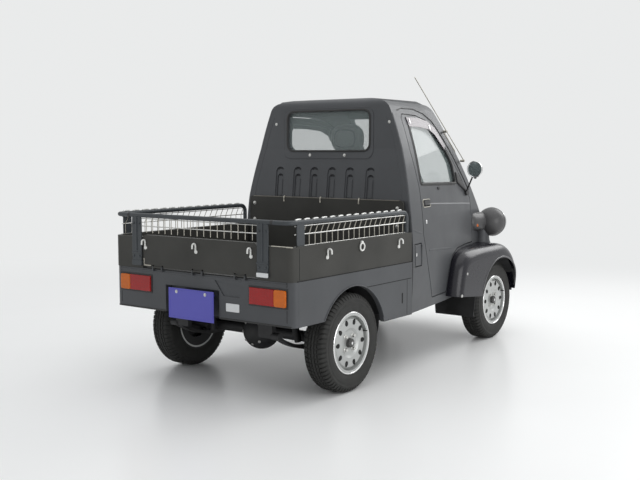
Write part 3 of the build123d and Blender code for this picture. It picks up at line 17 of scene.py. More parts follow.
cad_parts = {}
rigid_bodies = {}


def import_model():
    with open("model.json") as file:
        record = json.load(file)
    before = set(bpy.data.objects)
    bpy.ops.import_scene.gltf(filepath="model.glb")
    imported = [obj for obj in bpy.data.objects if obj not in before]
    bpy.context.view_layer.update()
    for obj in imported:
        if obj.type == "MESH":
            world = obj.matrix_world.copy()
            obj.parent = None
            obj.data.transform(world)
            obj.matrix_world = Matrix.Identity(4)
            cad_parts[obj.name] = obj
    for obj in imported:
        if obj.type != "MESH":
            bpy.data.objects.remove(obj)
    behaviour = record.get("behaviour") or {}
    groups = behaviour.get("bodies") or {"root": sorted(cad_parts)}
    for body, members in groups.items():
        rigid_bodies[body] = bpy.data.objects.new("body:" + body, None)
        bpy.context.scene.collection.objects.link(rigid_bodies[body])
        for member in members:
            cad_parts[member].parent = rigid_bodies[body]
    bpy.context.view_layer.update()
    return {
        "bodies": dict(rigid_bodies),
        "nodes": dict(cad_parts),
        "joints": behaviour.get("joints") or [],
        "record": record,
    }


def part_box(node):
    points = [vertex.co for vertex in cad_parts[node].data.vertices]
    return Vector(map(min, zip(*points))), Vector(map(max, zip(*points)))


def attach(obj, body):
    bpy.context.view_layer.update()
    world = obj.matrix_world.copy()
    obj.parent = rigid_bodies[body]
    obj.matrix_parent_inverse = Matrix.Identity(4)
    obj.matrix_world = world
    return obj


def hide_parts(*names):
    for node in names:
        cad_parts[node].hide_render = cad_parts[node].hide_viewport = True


LOG = logging.getLogger("micro_pickup")
Array = np.ndarray
Profile = tuple[tuple[float, ...], ...]
Outline = tuple[tuple[float, float], ...]
Triple = tuple[float, float, float]
Numbers = Sequence[float]
Points = Array | Sequence[Sequence[float]]
Piece = bpy.types.Object
Socket = bpy.types.NodeSocket

TRUCK = "truck"
REAR_AXLE_X = -0.85
FRONT_AXLE_X = 0.99
AXLE_Z = 0.27
CAB_BACK_X = -0.233
SIDES = (-1.0, 1.0)
AHEAD = np.array([1.0, 0.0, 0.0])
ACROSS = np.array([0.0, 1.0, 0.0])
UP = np.array([0.0, 0.0, 1.0])


def hand(side: float) -> str:
    """The name of a side: right for -1 and left for +1."""
    return "left" if side > 0 else "right"


# Mesh tools


@dataclass
class Patch:
    """Vertices and faces of one surface, before they become a mesh."""

    points: Array
    faces: list[tuple[int, ...]]

    @staticmethod
    def grid(points: Array, wrap_u: bool = False, wrap_v: bool = False, flip: bool = False) -> Patch:
        """Join a grid of points into quads.

        Args:
            points: Array of shape (u, v, 3).
            wrap_u: Join the last row to the first.
            wrap_v: Join the last column to the first.
            flip: Turn every face over.

        Returns:
            The surface as a patch.
        """
        rows, columns = points.shape[:2]
        index = np.arange(rows * columns).reshape(rows, columns)
        if wrap_u:
            index = np.vstack([index, index[:1]])
        if wrap_v:
            index = np.hstack([index, index[:, :1]])
        corners = [index[:-1, :-1], index[1:, :-1], index[1:, 1:], index[:-1, 1:]]
        quads = np.stack(corners, axis=-1).reshape(-1, 4)
        if flip:
            quads = quads[:, ::-1]
        return Patch(points.reshape(-1, 3), [tuple(q) for q in quads.tolist()])

    @staticmethod
    def join(patches: Sequence[Patch]) -> Patch:
        """Put patches together.

        Args:
            patches: The patches, in order.

        Returns:
            All of them as one patch.
        """
        points, faces, start = [], [], 0
        for patch in patches:
            points.append(patch.points)
            faces.extend(tuple(i + start for i in face) for face in patch.faces)
            start += len(patch.points)
        return Patch(np.vstack(points), faces)

    def mirrored(self) -> Patch:
        """The patch on the other side of the truck, its faces turned back outwards."""
        return Patch(self.points * np.array([1.0, -1.0, 1.0]), [face[::-1] for face in self.faces])

    def cap(self, rows: int, columns: int) -> None:
        """Close the first and the last row of a grid whose columns wrap round.

        Args:
            rows: Number of rows of the grid.
            columns: Number of points in a row.
        """
        last = (rows - 1) * columns
        self.faces.append(tuple(reversed(range(columns))))
        self.faces.append(tuple(range(last, last + columns)))

    def outward(self) -> Patch:
        """Turn a closed surface's faces outwards, by the sign of the volume of its corner fans.

        Returns:
            The patch, or the patch with every face turned over.
        """
        centred = self.points - self.points.mean(axis=0)
        volume = 0.0
        for size in {len(face) for face in self.faces}:
            corners = centred[np.array([face for face in self.faces if len(face) == size])]
            for k in range(1, size - 1):
                normals = np.cross(corners[:, k], corners[:, k + 1])
                volume += float(np.einsum("ij,ij->", corners[:, 0], normals))
        return self if volume >= 0 else Patch(self.points, [face[::-1] for face in self.faces])

    def to_object(self, name: str, sharp: float = 38.0) -> Piece:
        """Make a mesh object of the patch, at the origin.

        Args:
            name: The piece's name.
            sharp: Angle in degrees past which an edge is shaded sharp.

        Returns:
            The new object, linked to the scene.
        """
        mesh = bpy.data.meshes.new(name)
        mesh.from_pydata(self.points.tolist(), [], self.faces)
        mesh.polygons.foreach_set("use_smooth", [True] * len(mesh.polygons))
        mesh.set_sharp_from_angle(angle=math.radians(sharp))
        mesh.update()
        piece = bpy.data.objects.new(name, mesh)
        bpy.context.scene.collection.objects.link(piece)
        return piece


def directions(path: Array, closed: bool) -> Array:
    """The way along a path at each of its points."""
    return np.roll(path, -1, axis=0) - np.roll(path, 1, axis=0) if closed else np.gradient(path, axis=0)


def frames_along(path: Array, closed: bool) -> tuple[Array, Array]:
    """Two directions across a path at each of its points, from the path's own plane.

    Args:
        path: Points of shape (n, 3).
        closed: Whether the last point joins the first.

    Returns:
        Unit side and unit up directions, each of shape (n, 3).
    """
    along = directions(path, closed)
    along = along / np.linalg.norm(along, axis=1, keepdims=True)
    centred = path - path.mean(axis=0)
    normal = np.linalg.svd(centred, full_matrices=False)[2][-1]
    if np.abs(along @ normal).max() > 0.9:
        normal = np.array([0.0, 0.0, 1.0])
    side = np.cross(along, normal)
    side = side / np.linalg.norm(side, axis=1, keepdims=True)
    return side, np.cross(side, along)


def tube(path: Points, radius: float | Array, sides: int = 10,
         closed: bool = False, flat: float = 1.0) -> Patch:
    """A round tube carried along a path: point + r (cos a * side + flat * sin a * up).

    Args:
        path: Points of shape (n, 3).
        radius: One radius, or one for each point.
        sides: Number of faces round the tube.
        closed: Whether the path closes on itself.
        flat: Height of the section as a share of its width.

    Returns:
        The tube, with capped ends if it is open.
    """
    path = np.asarray(path, float)
    side, up = frames_along(path, closed)
    angle = np.linspace(0, 2 * math.pi, sides, endpoint=False)
    reach = np.broadcast_to(np.asarray(radius, float), (len(path),))[:, None, None]
    cos, sin = np.cos(angle)[None, :, None], np.sin(angle)[None, :, None]
    ring = cos * side[:, None, :] + flat * sin * up[:, None, :]
    patch = Patch.grid(path[:, None, :] + reach * ring, wrap_u=closed, wrap_v=True)
    if not closed:
        patch.cap(len(path), sides)
    return patch.outward()


def turned(profile: Points, centre: Numbers,
           axis: Numbers, steps: int = 32, ring: bool = False) -> Patch:
    """A profile of (radius, height) turned about an axis: centre + h * axis + r (cos a * e1 + sin a * e2).

    Args:
        profile: Array of shape (n, 2), from one end of the axis to the other.
        centre: A point on the axis.
        axis: The direction of growing height.
        steps: Number of faces round the axis.
        ring: The profile closes on itself; otherwise its ends are capped.

    Returns:
        The turned surface.
    """
    profile = np.asarray(profile, float)
    direction = np.asarray(axis, float)
    direction = direction / np.linalg.norm(direction)
    spare = np.array([0.0, 0.0, 1.0]) if abs(direction[2]) < 0.9 else np.array([1.0, 0.0, 0.0])
    first = np.cross(direction, spare)
    first = first / np.linalg.norm(first)
    second = np.cross(direction, first)
    angle = np.linspace(0, 2 * math.pi, steps, endpoint=False)
    around = np.cos(angle)[:, None] * first + np.sin(angle)[:, None] * second
    points = (
        np.asarray(centre, float)
        + profile[:, 1][:, None, None] * direction
        + profile[:, 0][:, None, None] * around[None, :, :]
    )
    patch = Patch.grid(points, wrap_u=ring, wrap_v=True)
    if not ring:
        patch.cap(len(profile), steps)
    return patch.outward()


def rounded_loop(corners: Array, radius: float, steps: int = 6) -> Array:
    """A closed outline in a plane with its corners rounded by quadratic curves.

    Args:
        corners: Array of shape (n, 2).
        radius: Distance from a corner at which its curve begins.
        steps: Points on each curve.

    Returns:
        Array of shape (n * steps, 2).
    """
    before = np.roll(corners, 1, axis=0) - corners
    after = np.roll(corners, -1, axis=0) - corners
    reach_before = np.minimum(radius, 0.45 * np.linalg.norm(before, axis=1))[:, None]
    reach_after = np.minimum(radius, 0.45 * np.linalg.norm(after, axis=1))[:, None]
    start = corners + before / np.linalg.norm(before, axis=1, keepdims=True) * reach_before
    end = corners + after / np.linalg.norm(after, axis=1, keepdims=True) * reach_after
    t = np.linspace(0, 1, steps)[None, :, None]
    curve = (1 - t) ** 2 * start[:, None] + 2 * t * (1 - t) * corners[:, None] + t**2 * end[:, None]
    return curve.reshape(-1, 2)


def stepped(corners: Points, step: float, closed: bool = False) -> Array:
    """Points about a step apart along the straight runs between corners.

    Args:
        corners: Array of shape (n, 2) or (n, 3).
        step: Wanted distance between points.
        closed: Whether the last corner joins the first.

    Returns:
        The points, without a second copy of the first where the path is closed.
    """
    ring = np.asarray(corners, float)
    ring = np.vstack([ring, ring[:1]]) if closed else ring
    place = np.concatenate([[0.0], np.cumsum(np.linalg.norm(np.diff(ring, axis=0), axis=1))])
    wanted = np.linspace(0.0, place[-1], max(int(place[-1] / step), 4) + 1)
    points = np.stack([np.interp(wanted, place, ring[:, k]) for k in range(ring.shape[1])], axis=1)
    return points[:-1] if closed else points


def bead(path: Array, normal: Array, width: float, height: float, closed: bool = False,
         sink: float = 0.0015) -> Patch:
    """A low strip on a skin: point + w/2 cos a * across + h (sin a)^0.6 * normal, its back sunk in the skin.

    Args:
        path: Points of shape (n, 3) on the skin.
        normal: The skin's normals there.
        width: Width of the strip.
        height: How far its crown stands out.
        closed: Whether the strip closes on itself.
        sink: How deep its back lies under the skin.

    Returns:
        The closed strip.
    """
    across = np.cross(directions(path, closed), normal)
    across = across / np.linalg.norm(across, axis=1, keepdims=True)
    angle = np.linspace(0, math.pi, 7)
    wide = np.concatenate([[0.5], 0.5 * np.cos(angle), [-0.5]]) * width
    tall = np.concatenate([[-sink], height * np.sin(angle) ** 0.6, [-sink]])
    points = path[:, None] + wide[None, :, None] * across[:, None] + tall[None, :, None] * normal[:, None]
    patch = Patch.grid(points, wrap_u=closed, wrap_v=True)
    if not closed:
        patch.cap(len(path), len(wide))
    return patch.outward()


def flat_bead(corners: Points, step: float, normal: Array, width: float,
              height: float) -> Patch:
    """A bead along straight runs on a flat face.

    Args:
        corners: Ends of the runs, of shape (n, 3).
        step: Distance between the points along it.
        normal: The face's normal.
        width: Width of the strip.
        height: How far its crown stands out.

    Returns:
        The closed strip.
    """
    path = stepped(corners, step)
    return bead(path, np.tile(normal, (len(path), 1)), width, height)


def bolt(centre: Numbers, axis: Numbers, radius: float, height: float) -> Patch:
    """A hexagon head with a domed top on a round washer, both turned about the axis.

    Args:
        centre: The middle of the washer's seat.
        axis: The way out.
        radius: Radius of the head.
        height: Height of the head.

    Returns:
        The washer and the head.
    """
    washer = np.array([(1.5, -0.3), (1.5, 0.2), (0.9, 0.25)]) * (radius, height)
    head = np.array([(1.0, 0.0), (1.0, 0.85), (0.8, 1.0), (0.3, 1.05)]) * (radius, height)
    return Patch.join([turned(washer, centre, axis, 20), turned(head, centre, axis, 6)])


def heads(profile: Points, places: tuple[Array, Array], steps: int) -> list[Patch]:
    """The same turned profile at each point of a (points, normals) pair, along its normal."""
    return [turned(profile, point, normal, steps) for point, normal in zip(*places)]


def bolts(places: tuple[Array, Array], radius: float, height: float) -> list[Patch]:
    """A bolt at each point of a (points, normals) pair, along its normal."""
    return [bolt(point, normal, radius, height) for point, normal in zip(*places)]


class Look(Enum):
    """A side from which a fitting is laid on: the way that its rays go, and the two axes it is drawn in."""

    RIGHT = ((0.0, 1.0, 0.0), (0, 2))
    LEFT = ((0.0, -1.0, 0.0), (0, 2))
    REAR = ((1.0, 0.0, 0.0), (1, 2))
    FRONT = ((-1.0, 0.0, 0.0), (1, 2))
    TOP = ((0.0, 0.0, -1.0), (0, 1))

    @staticmethod
    def flank(side: float) -> Look:
        """The look at the right side for -1 and at the left side for +1."""
        return Look.RIGHT if side < 0 else Look.LEFT

    @staticmethod
    def from_within(side: float) -> Look:
        """The look from the cab's middle at the inside of its right or left side."""
        return Look.LEFT if side < 0 else Look.RIGHT


class Skin:
    """The outside of some meshes, met by rays, so that a fitting lies on what carries it."""

    def __init__(self, *pieces: Piece) -> None:
        """Gather the pieces' faces in one search tree.

        Args:
            pieces: The meshes that carry the fittings.
        """
        points, faces = [], []
        for piece in pieces:
            mesh = piece.data
            places = np.empty(3 * len(mesh.vertices), np.float32)
            mesh.vertices.foreach_get("co", places)
            corners = np.empty(len(mesh.loops), np.int32)
            mesh.loops.foreach_get("vertex_index", corners)
            starts = np.empty(len(mesh.polygons), np.int32)
            mesh.polygons.foreach_get("loop_start", starts)
            corners += len(points)
            faces += [face.tolist() for face in np.split(corners, starts[1:])]
            points += places.reshape(-1, 3).tolist()
        self.tree = BVHTree.FromPolygons(points, faces)

    def lay(self, drawn: Points, look: Look, far: float = 3.0) -> tuple[Array, Array]:
        """Cast drawn points onto the skin.

        Args:
            drawn: Points of shape (n, 2) in the look's two axes.
            look: The side that they are cast from.
            far: How far from the truck's middle the rays start.

        Returns:
            The points and the normals, each of shape (n, 3). One that misses is put between its neighbours.
        """
        way, axes = look.value
        starts = np.tile(-far * np.asarray(way), (len(drawn), 1))
        starts[:, axes] = np.asarray(drawn, float)
        hits = [self.tree.ray_cast(Vector(start), Vector(way)) for start in starts.tolist()]
        met = np.array([i for i, hit in enumerate(hits) if hit[0] is not None])
        found = np.array([[*hits[i][0], *hits[i][1]] for i in met])
        rows = np.arange(len(hits))
        full = np.stack([np.interp(rows, met, found[:, k]) for k in range(6)], axis=1)
        normals = full[:, 3:] / np.linalg.norm(full[:, 3:], axis=1, keepdims=True)
        normals = normals * -np.sign(normals @ np.asarray(way) + 1e-9)[:, None]
        return full[:, :3], normals

    def strip(self, corners: Points, look: Look, width: float,
              height: float, closed: bool = False, step: float = 0.012, far: float = 3.0) -> Patch:
        """A bead along drawn corners, cast onto the skin."""
        points, normals = self.lay(stepped(corners, step, closed), look, far=far)
        return bead(points, normals, width, height, closed)

    def plate(self, outline: Array, look: Look, height: float, edge: float = 0.002,
              far: float = 3.0) -> Patch:
        """A thin plate on the skin: its outline in shrinking rings, each cast and lifted along the normal.

        Args:
            outline: Closed outline of shape (n, 2), drawn.
            look: The side that it is cast from.
            height: How far it stands out.
            edge: Width of its rounded edge.
            far: How far from the truck's middle the rays start.

        Returns:
            The closed plate, sunk a little at its back.
        """
        middle = outline.mean(axis=0)
        reach = np.linalg.norm(outline - middle, axis=1).max()
        rings = [(0.0, -0.002), (0.0, 0.6 * height), (edge * 0.3, 0.9 * height), (edge, height)]
        rings += [(0.4 * reach, height), (0.8 * reach, height)]
        rows = []
        for inset, lift in rings:
            drawn = middle + (outline - middle) * (1 - inset / reach)
            points, normals = self.lay(drawn, look, far=far)
            rows.append(points + lift * normals)
        patch = Patch.grid(np.stack(rows), wrap_v=True)
        patch.cap(len(rows), len(outline))
        return patch.outward()


def rectangle(centre: Numbers, size: Numbers, radius: float, steps: int = 5) -> Array:
    """A rounded rectangle by its middle and its two sizes."""
    signs = np.array([[-1, -1], [1, -1], [1, 1], [-1, 1]], float)
    return rounded_loop(np.asarray(centre, float) + 0.5 * signs * np.asarray(size, float), radius, steps)


def ring_arc(centre: Numbers, radius: float, angle: Array) -> Array:
    """Points of a circle drawn in two axes, at the given angles."""
    return np.asarray(centre, float) + radius * np.stack([np.cos(angle), np.sin(angle)], axis=1)


def ring_path(centre: Numbers, radius: float, steps: int) -> Array:
    """A closed circle drawn in two axes."""
    return ring_arc(centre, radius, np.linspace(0, 2 * math.pi, steps, endpoint=False))


def block(middle: Numbers, half: Numbers, soft: float = 0.0025) -> Patch:
    """A rounded block: a superellipse outline across Y and Z in rings that shrink towards both X faces.

    Args:
        middle: The block's middle.
        half: Half of its three sizes.
        soft: Width of its rounded edges.

    Returns:
        The closed block.
    """
    angle = np.linspace(0, 2 * math.pi, 40, endpoint=False)
    unit = np.stack([np.cos(angle), np.sin(angle)], axis=1)
    outline = np.sign(unit) * np.abs(unit) ** 0.22
    hx, hy, hz = half
    rear = [(-hx, soft), (-hx + 0.3 * soft, 0.25 * soft), (-hx + soft, 0.0)]
    rings = rear + [(-x, inset) for x, inset in reversed(rear)]
    rows = [np.column_stack([np.full(40, x), outline * (np.array([hy, hz]) - inset)]) for x, inset in rings]
    patch = Patch.grid(np.stack(rows) + np.asarray(middle, float), wrap_v=True)
    patch.cap(len(rings), 40)
    return patch.outward()


# Finishes


class Nodes:
    """A short hand for building a procedural material on Object coordinates."""

    def __init__(self, name: str) -> None:
        """Start a material with its shader and output.

        Args:
            name: The material's name.
        """
        self.material = bpy.data.materials.new(name)
        self.material.use_nodes = True
        self.tree = self.material.node_tree
        self.shader = self.tree.nodes["Principled BSDF"]
        self.coords = self.tree.nodes.new("ShaderNodeTexCoord")

    def link(self, source: Socket, target: Socket) -> None:
        """Join two sockets."""
        self.tree.links.new(source, target)

    def noise(self, scale: float, detail: float, rough: float = 0.5) -> Socket:
        """A noise value on Object coordinates.

        Args:
            scale: Features in a metre.
            detail: Octaves.
            rough: Weight of the finer octaves.

        Returns:
            The value's socket.
        """
        node = self.tree.nodes.new("ShaderNodeTexNoise")
        node.inputs["Scale"].default_value = scale
        node.inputs["Detail"].default_value = detail
        node.inputs["Roughness"].default_value = rough
        self.link(self.coords.outputs["Object"], node.inputs["Vector"])
        return node.outputs["Fac"]

    def mottle(self, cloud: Socket, low: Array, high: Array, edge: float = 0.3) -> None:
        """Let the base colour wander between two colours.

        Args:
            cloud: The noise that it follows.
            low: Colour where the noise is at the edge or under it.
            high: Colour where the noise is at one less the edge or over it.
            edge: Place of the first colour.
        """
        node = self.tree.nodes.new("ShaderNodeValToRGB")
        for element, place, colour in zip(node.color_ramp.elements, (edge, 1 - edge), (low, high)):
            element.position = place
            element.color = (*colour, 1.0)
        self.link(cloud, node.inputs["Fac"])
        self.link(node.outputs["Color"], self.shader.inputs["Base Color"])

    def wear(self, cloud: Socket, low: float, high: float) -> None:
        """Let the roughness wander between two values.

        Args:
            cloud: The noise that it follows.
            low: Roughness where the noise is nought.
            high: Roughness where it is one.
        """
        node = self.tree.nodes.new("ShaderNodeMapRange")
        node.inputs["To Min"].default_value = low
        node.inputs["To Max"].default_value = high
        self.link(cloud, node.inputs["Value"])
        self.link(node.outputs["Result"], self.shader.inputs["Roughness"])

    def wave(self, direction: str, pitch: float, distortion: float = 0.0) -> Socket:
        """Even waves along one axis.

        Args:
            direction: The axis, X, Y or Z.
            pitch: Distance from one wave to the next.
            distortion: How far noise bends them.

        Returns:
            The height's socket.
        """
        node = self.tree.nodes.new("ShaderNodeTexWave")
        node.bands_direction = direction
        node.inputs["Scale"].default_value = math.pi / (pitch * 20.0)
        node.inputs["Distortion"].default_value = distortion
        self.link(self.coords.outputs["Object"], node.inputs["Vector"])
        return node.outputs["Fac"]

    def bump(self, height: Socket, strength: float, distance: float) -> None:
        """Carry a height onto the shader's normal, after any bump already there.

        Args:
            height: The height's socket.
            strength: Share of the bump that counts.
            distance: Height of a full step.
        """
        node = self.tree.nodes.new("ShaderNodeBump")
        node.inputs["Strength"].default_value = strength
        node.inputs["Distance"].default_value = distance
        self.link(height, node.inputs["Height"])
        normal = self.shader.inputs["Normal"]
        if normal.is_linked:
            self.link(normal.links[0].from_socket, node.inputs["Normal"])
        self.link(node.outputs["Normal"], normal)

    def put(self, **values: float | Numbers) -> None:
        """Set plain values on the shader's own sockets, by name with _ for a space."""
        for name, value in values.items():
            self.shader.inputs[name.replace("_", " ")].default_value = value


@dataclass(frozen=True)
class Paint:
    """Sprayed paint: a mottled colour, uneven gloss and a fine orange peel."""

    name: str
    colour: Triple
    rough: float = 0.35
    coat: float = 0.5
    metal: float = 0.0
    flake: float = 0.08
    gloss: float = 0.5

    def build(self) -> bpy.types.Material:
        """Make the material.

        Returns:
            The new material.
        """
        nodes = Nodes(self.name)
        base = np.asarray(self.colour)
        nodes.mottle(nodes.noise(3.0, 5.0), base * (1 - self.flake), base * (1 + self.flake) + 0.001)
        nodes.wear(nodes.noise(9.0, 6.0), self.rough - 0.05, self.rough + 0.1)
        nodes.bump(nodes.noise(420.0, 2.0), 0.04, 0.0006)
        nodes.put(Metallic=self.metal, Specular_IOR_Level=self.gloss)
        nodes.put(Coat_Weight=self.coat, Coat_Roughness=0.08)
        return nodes.material


@dataclass(frozen=True)
class Grain:
    """Moulded or cast surface: a plain colour with fine grain and worn patches."""

    name: str
    colour: Triple
    rough: float = 0.6
    scale: float = 300.0
    depth: float = 0.25
    metal: float = 0.0
    variation: float = 0.2

    def build(self) -> bpy.types.Material:
        """Make the material.

        Returns:
            The new material.
        """
        nodes = Nodes(self.name)
        base = np.asarray(self.colour)
        nodes.mottle(nodes.noise(14.0, 8.0, 0.6), base * (1 - self.variation), base * (1 + self.variation))
        nodes.wear(nodes.noise(25.0, 5.0), self.rough - 0.1, self.rough + 0.1)
        nodes.bump(nodes.noise(self.scale, 3.0), self.depth, 0.0008)
        nodes.put(Metallic=self.metal)
        return nodes.material


@dataclass(frozen=True)
class Bright:
    """Bright metal with fine rubbed variation."""

    name: str
    colour: Triple
    rough: float = 0.25

    def build(self) -> bpy.types.Material:
        """Make the material.

        Returns:
            The new material.
        """
        nodes = Nodes(self.name)
        base = np.asarray(self.colour)
        nodes.mottle(nodes.noise(120.0, 4.0, 0.6), base * 0.85, base * 1.05)
        nodes.wear(nodes.noise(30.0, 4.0), self.rough - 0.08, self.rough + 0.12)
        nodes.put(Metallic=1.0)
        return nodes.material


@dataclass(frozen=True)
class Clear:
    """Glass or clear plastic, with a light tint and a faint film of dust."""

    name: str
    colour: Triple
    alpha: float = 0.25
    rough: float = 0.03

    def build(self) -> bpy.types.Material:
        """Make the material.

        Returns:
            The new material.
        """
        nodes = Nodes(self.name)
        base = np.asarray(self.colour)
        nodes.mottle(nodes.noise(6.0, 4.0), base * 0.96, base, 0.2)
        nodes.wear(nodes.noise(18.0, 4.0), self.rough, self.rough + 0.03)
        nodes.put(Alpha=self.alpha, IOR=1.5, Specular_IOR_Level=0.6)
        return nodes.material


@dataclass(frozen=True)
class Lens:
    """A ribbed signal lens with a faint painted glow in its own colour, besides the light from outside."""

    name: str
    colour: Triple
    pitch: float = 0.009

    def build(self) -> bpy.types.Material:
        """Make the material.

        Returns:
            The new material.
        """
        nodes = Nodes(self.name)
        base = np.asarray(self.colour)
        nodes.mottle(nodes.noise(30.0, 3.0), base * 0.85, base)
        for direction in "YZ":
            nodes.bump(nodes.wave(direction, self.pitch), 0.35, 0.001)
        nodes.put(Roughness=0.16, Coat_Weight=0.25, Coat_Roughness=0.03, Specular_IOR_Level=0.3)
        # A faint glow in the lens's own colour, though the lamp is off: painted light.
        nodes.put(Emission_Strength=0.05, Emission_Color=(*self.colour, 1.0))
        return nodes.material


@dataclass(frozen=True)
class Weave:
    """Woven seat cloth: crossed threads, a soft sheen and a mottled colour."""

    name: str
    colour: Triple
    thread: float = 0.0022

    def build(self) -> bpy.types.Material:
        """Make the material.

        Returns:
            The new material.
        """
        nodes = Nodes(self.name)
        base = np.asarray(self.colour)
        nodes.mottle(nodes.noise(260.0, 3.0), base * 0.7, base * 1.25, 0.35)
        for direction in "XYZ":
            nodes.bump(nodes.wave(direction, self.thread, 0.6), 0.2, 0.0006)
        nodes.put(Roughness=0.9, Sheen_Weight=0.35, Sheen_Roughness=0.5)
        return nodes.material


class Finish(Enum):
    """Every finish on the truck, by the record's slot or by a small fitting's own name."""

    BODY = Paint("body_grey", (0.079, 0.082, 0.087), rough=0.42, coat=0.06, metal=0.25, gloss=0.26)
    WING = Paint("wing_black", (0.0085, 0.008, 0.0125), rough=0.24, coat=0.1, flake=0.15, gloss=0.38)
    POD = Paint("lamp_pod_paint", (0.070, 0.069, 0.070), rough=0.34, coat=0.06, flake=0.2, gloss=0.35)
    # Dark paint for the tops of the back panel's pressed ribs: painted shade.
    SHADE = Paint("pressing_shade", (0.03, 0.0305, 0.033), rough=0.6, coat=0.0, gloss=0.2)
    # Body grey made lighter for the door's crease bead: a painted highlight along the crease.
    CREASE = Paint("crease_painted_highlight", (0.2, 0.203, 0.21), rough=0.4, coat=0.1, metal=0.2)
    # A lighter brown on the headboard's dark top edge: a painted highlight where the top catches the light.
    BOARD_HIGHLIGHT = Paint("board_edge_highlight", (0.13, 0.12, 0.1), rough=0.5, coat=0.05)
    BED = Paint("bed_dark", (0.04, 0.0393, 0.0352), rough=0.52, coat=0.02, flake=0.2, gloss=0.3)
    CHASSIS = Grain("chassis_black", (0.02, 0.02, 0.021), rough=0.6)
    IRON = Grain("engine_iron", (0.09, 0.09, 0.088), rough=0.65, metal=0.6, variation=0.4)
    EXHAUST = Grain("exhaust_steel", (0.22, 0.2, 0.18), rough=0.5, metal=0.9, variation=0.35)
    TYRE = Grain("tyre_rubber", (0.019, 0.019, 0.0175), rough=0.75, scale=500.0, variation=0.25)
    WHEEL = Paint("wheel_silver", (0.46, 0.47, 0.46), rough=0.34, coat=0.12, metal=0.5, flake=0.09)
    GLASS = Clear("window_glass", (0.42, 0.5, 0.49), alpha=0.2)
    LAMP_GLASS = Clear("clear_lens", (0.85, 0.87, 0.87), alpha=0.3)
    VISOR = Clear("smoked_plastic", (0.075, 0.052, 0.066), alpha=0.9, rough=0.2)
    PLASTIC = Grain("black_plastic", (0.022, 0.022, 0.023), rough=0.55)
    RED = Lens("red_lens", (0.31, 0.006, 0.006))
    AMBER = Lens("amber_lens", (0.56, 0.12, 0.001))
    PLATE = Paint("plate_blue", (0.088, 0.084, 0.44), rough=0.4, coat=0.1, flake=0.03)
    RACK = Paint("rack_grey", (0.04, 0.046, 0.051), rough=0.42, coat=0.05, flake=0.12, gloss=0.4)
    WIRE = Bright("wire_steel", (0.44, 0.42, 0.37), rough=0.4)
    HOOK = Paint("hook_white", (0.75, 0.75, 0.72), rough=0.3, coat=0.4, flake=0.03)
    SEAT = Weave("seat_fabric", (0.16, 0.165, 0.165))
    CHROME = Bright("chrome_trim", (0.8, 0.8, 0.8), rough=0.12)
    NUT = Bright("zinc_bolts", (0.62, 0.62, 0.6), rough=0.3)
    MIRROR = Bright("mirror_glass", (0.42, 0.44, 0.45), rough=0.16)
    REFLECTOR = Bright("lamp_reflector", (0.82, 0.83, 0.84), rough=0.1)
    CAP = Grain("hub_cap_dark", (0.06, 0.06, 0.058), rough=0.35, depth=0.08, metal=0.3)
    LIP = Paint("wing_edge", (0.045, 0.045, 0.05), rough=0.35, coat=0.4)
    PALE = Paint("pale_plastic", (0.68, 0.69, 0.69), rough=0.35, coat=0.3, flake=0.03)
    TRIM = Grain("door_trim", (0.07, 0.07, 0.072), rough=0.75, scale=220.0, depth=0.3)
    PIPING = Grain("seat_piping", (0.07, 0.07, 0.07), rough=0.85, scale=400.0)
    RUBBER = Grain("seal_rubber", (0.018, 0.018, 0.018), rough=0.5, scale=200.0, depth=0.1)
    GAP = Grain("dark_gap", (0.008, 0.008, 0.008), rough=0.9)

    @property
    def material(self) -> bpy.types.Material:
        """The material, built the first time it is asked for.

        Returns:
            The one material of this finish.
        """
        name = self.value.name + "_look"
        found = bpy.data.materials.get(name)
        if found is None:
            found = self.value.build()
            found.name = name
        return found


def dress(piece: Piece, finish: Finish) -> None:
    """Give a piece its one material."""
    piece.data.materials.clear()
    piece.data.materials.append(finish.material)


SLOTS = {
    Finish.POD: "body_grey", Finish.SHADE: "body_grey", Finish.CREASE: "body_grey", Finish.BOARD_HIGHLIGHT: "bed_dark",
    Finish.LIP: "wing_black", Finish.CAP: "black_plastic", Finish.RUBBER: "black_plastic",
    Finish.GAP: "black_plastic", Finish.TRIM: "black_plastic", Finish.PALE: "hook_white",
    Finish.CHROME: "hook_white", Finish.NUT: "hook_white", Finish.MIRROR: "clear_lens",
    Finish.REFLECTOR: "clear_lens", Finish.PIPING: "seat_fabric",
}


def add(shape: Patch | list[Patch], name: str, finish: Finish, body: str = TRUCK, slot: str = "") -> Piece:
    """Make a piece, dress it and let it ride.

    Args:
        shape: The surface, or several that are put together.
        name: The piece's name.
        finish: Its material.
        body: The body that carries it.
        slot: The record's material slot it counts as, where it isn't the finish's own; it is worked out but
            not used.

    Returns:
        The new object.
    """
    patch = Patch.join(shape) if isinstance(shape, list) else shape
    slot = slot or SLOTS.get(finish, finish.value.name)
    piece = patch.to_object(name)
    dress(piece, finish)
    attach(piece, body)
    LOG.info("%s: %d faces on %s", name, len(patch.faces), body)
    return piece


# Wheels


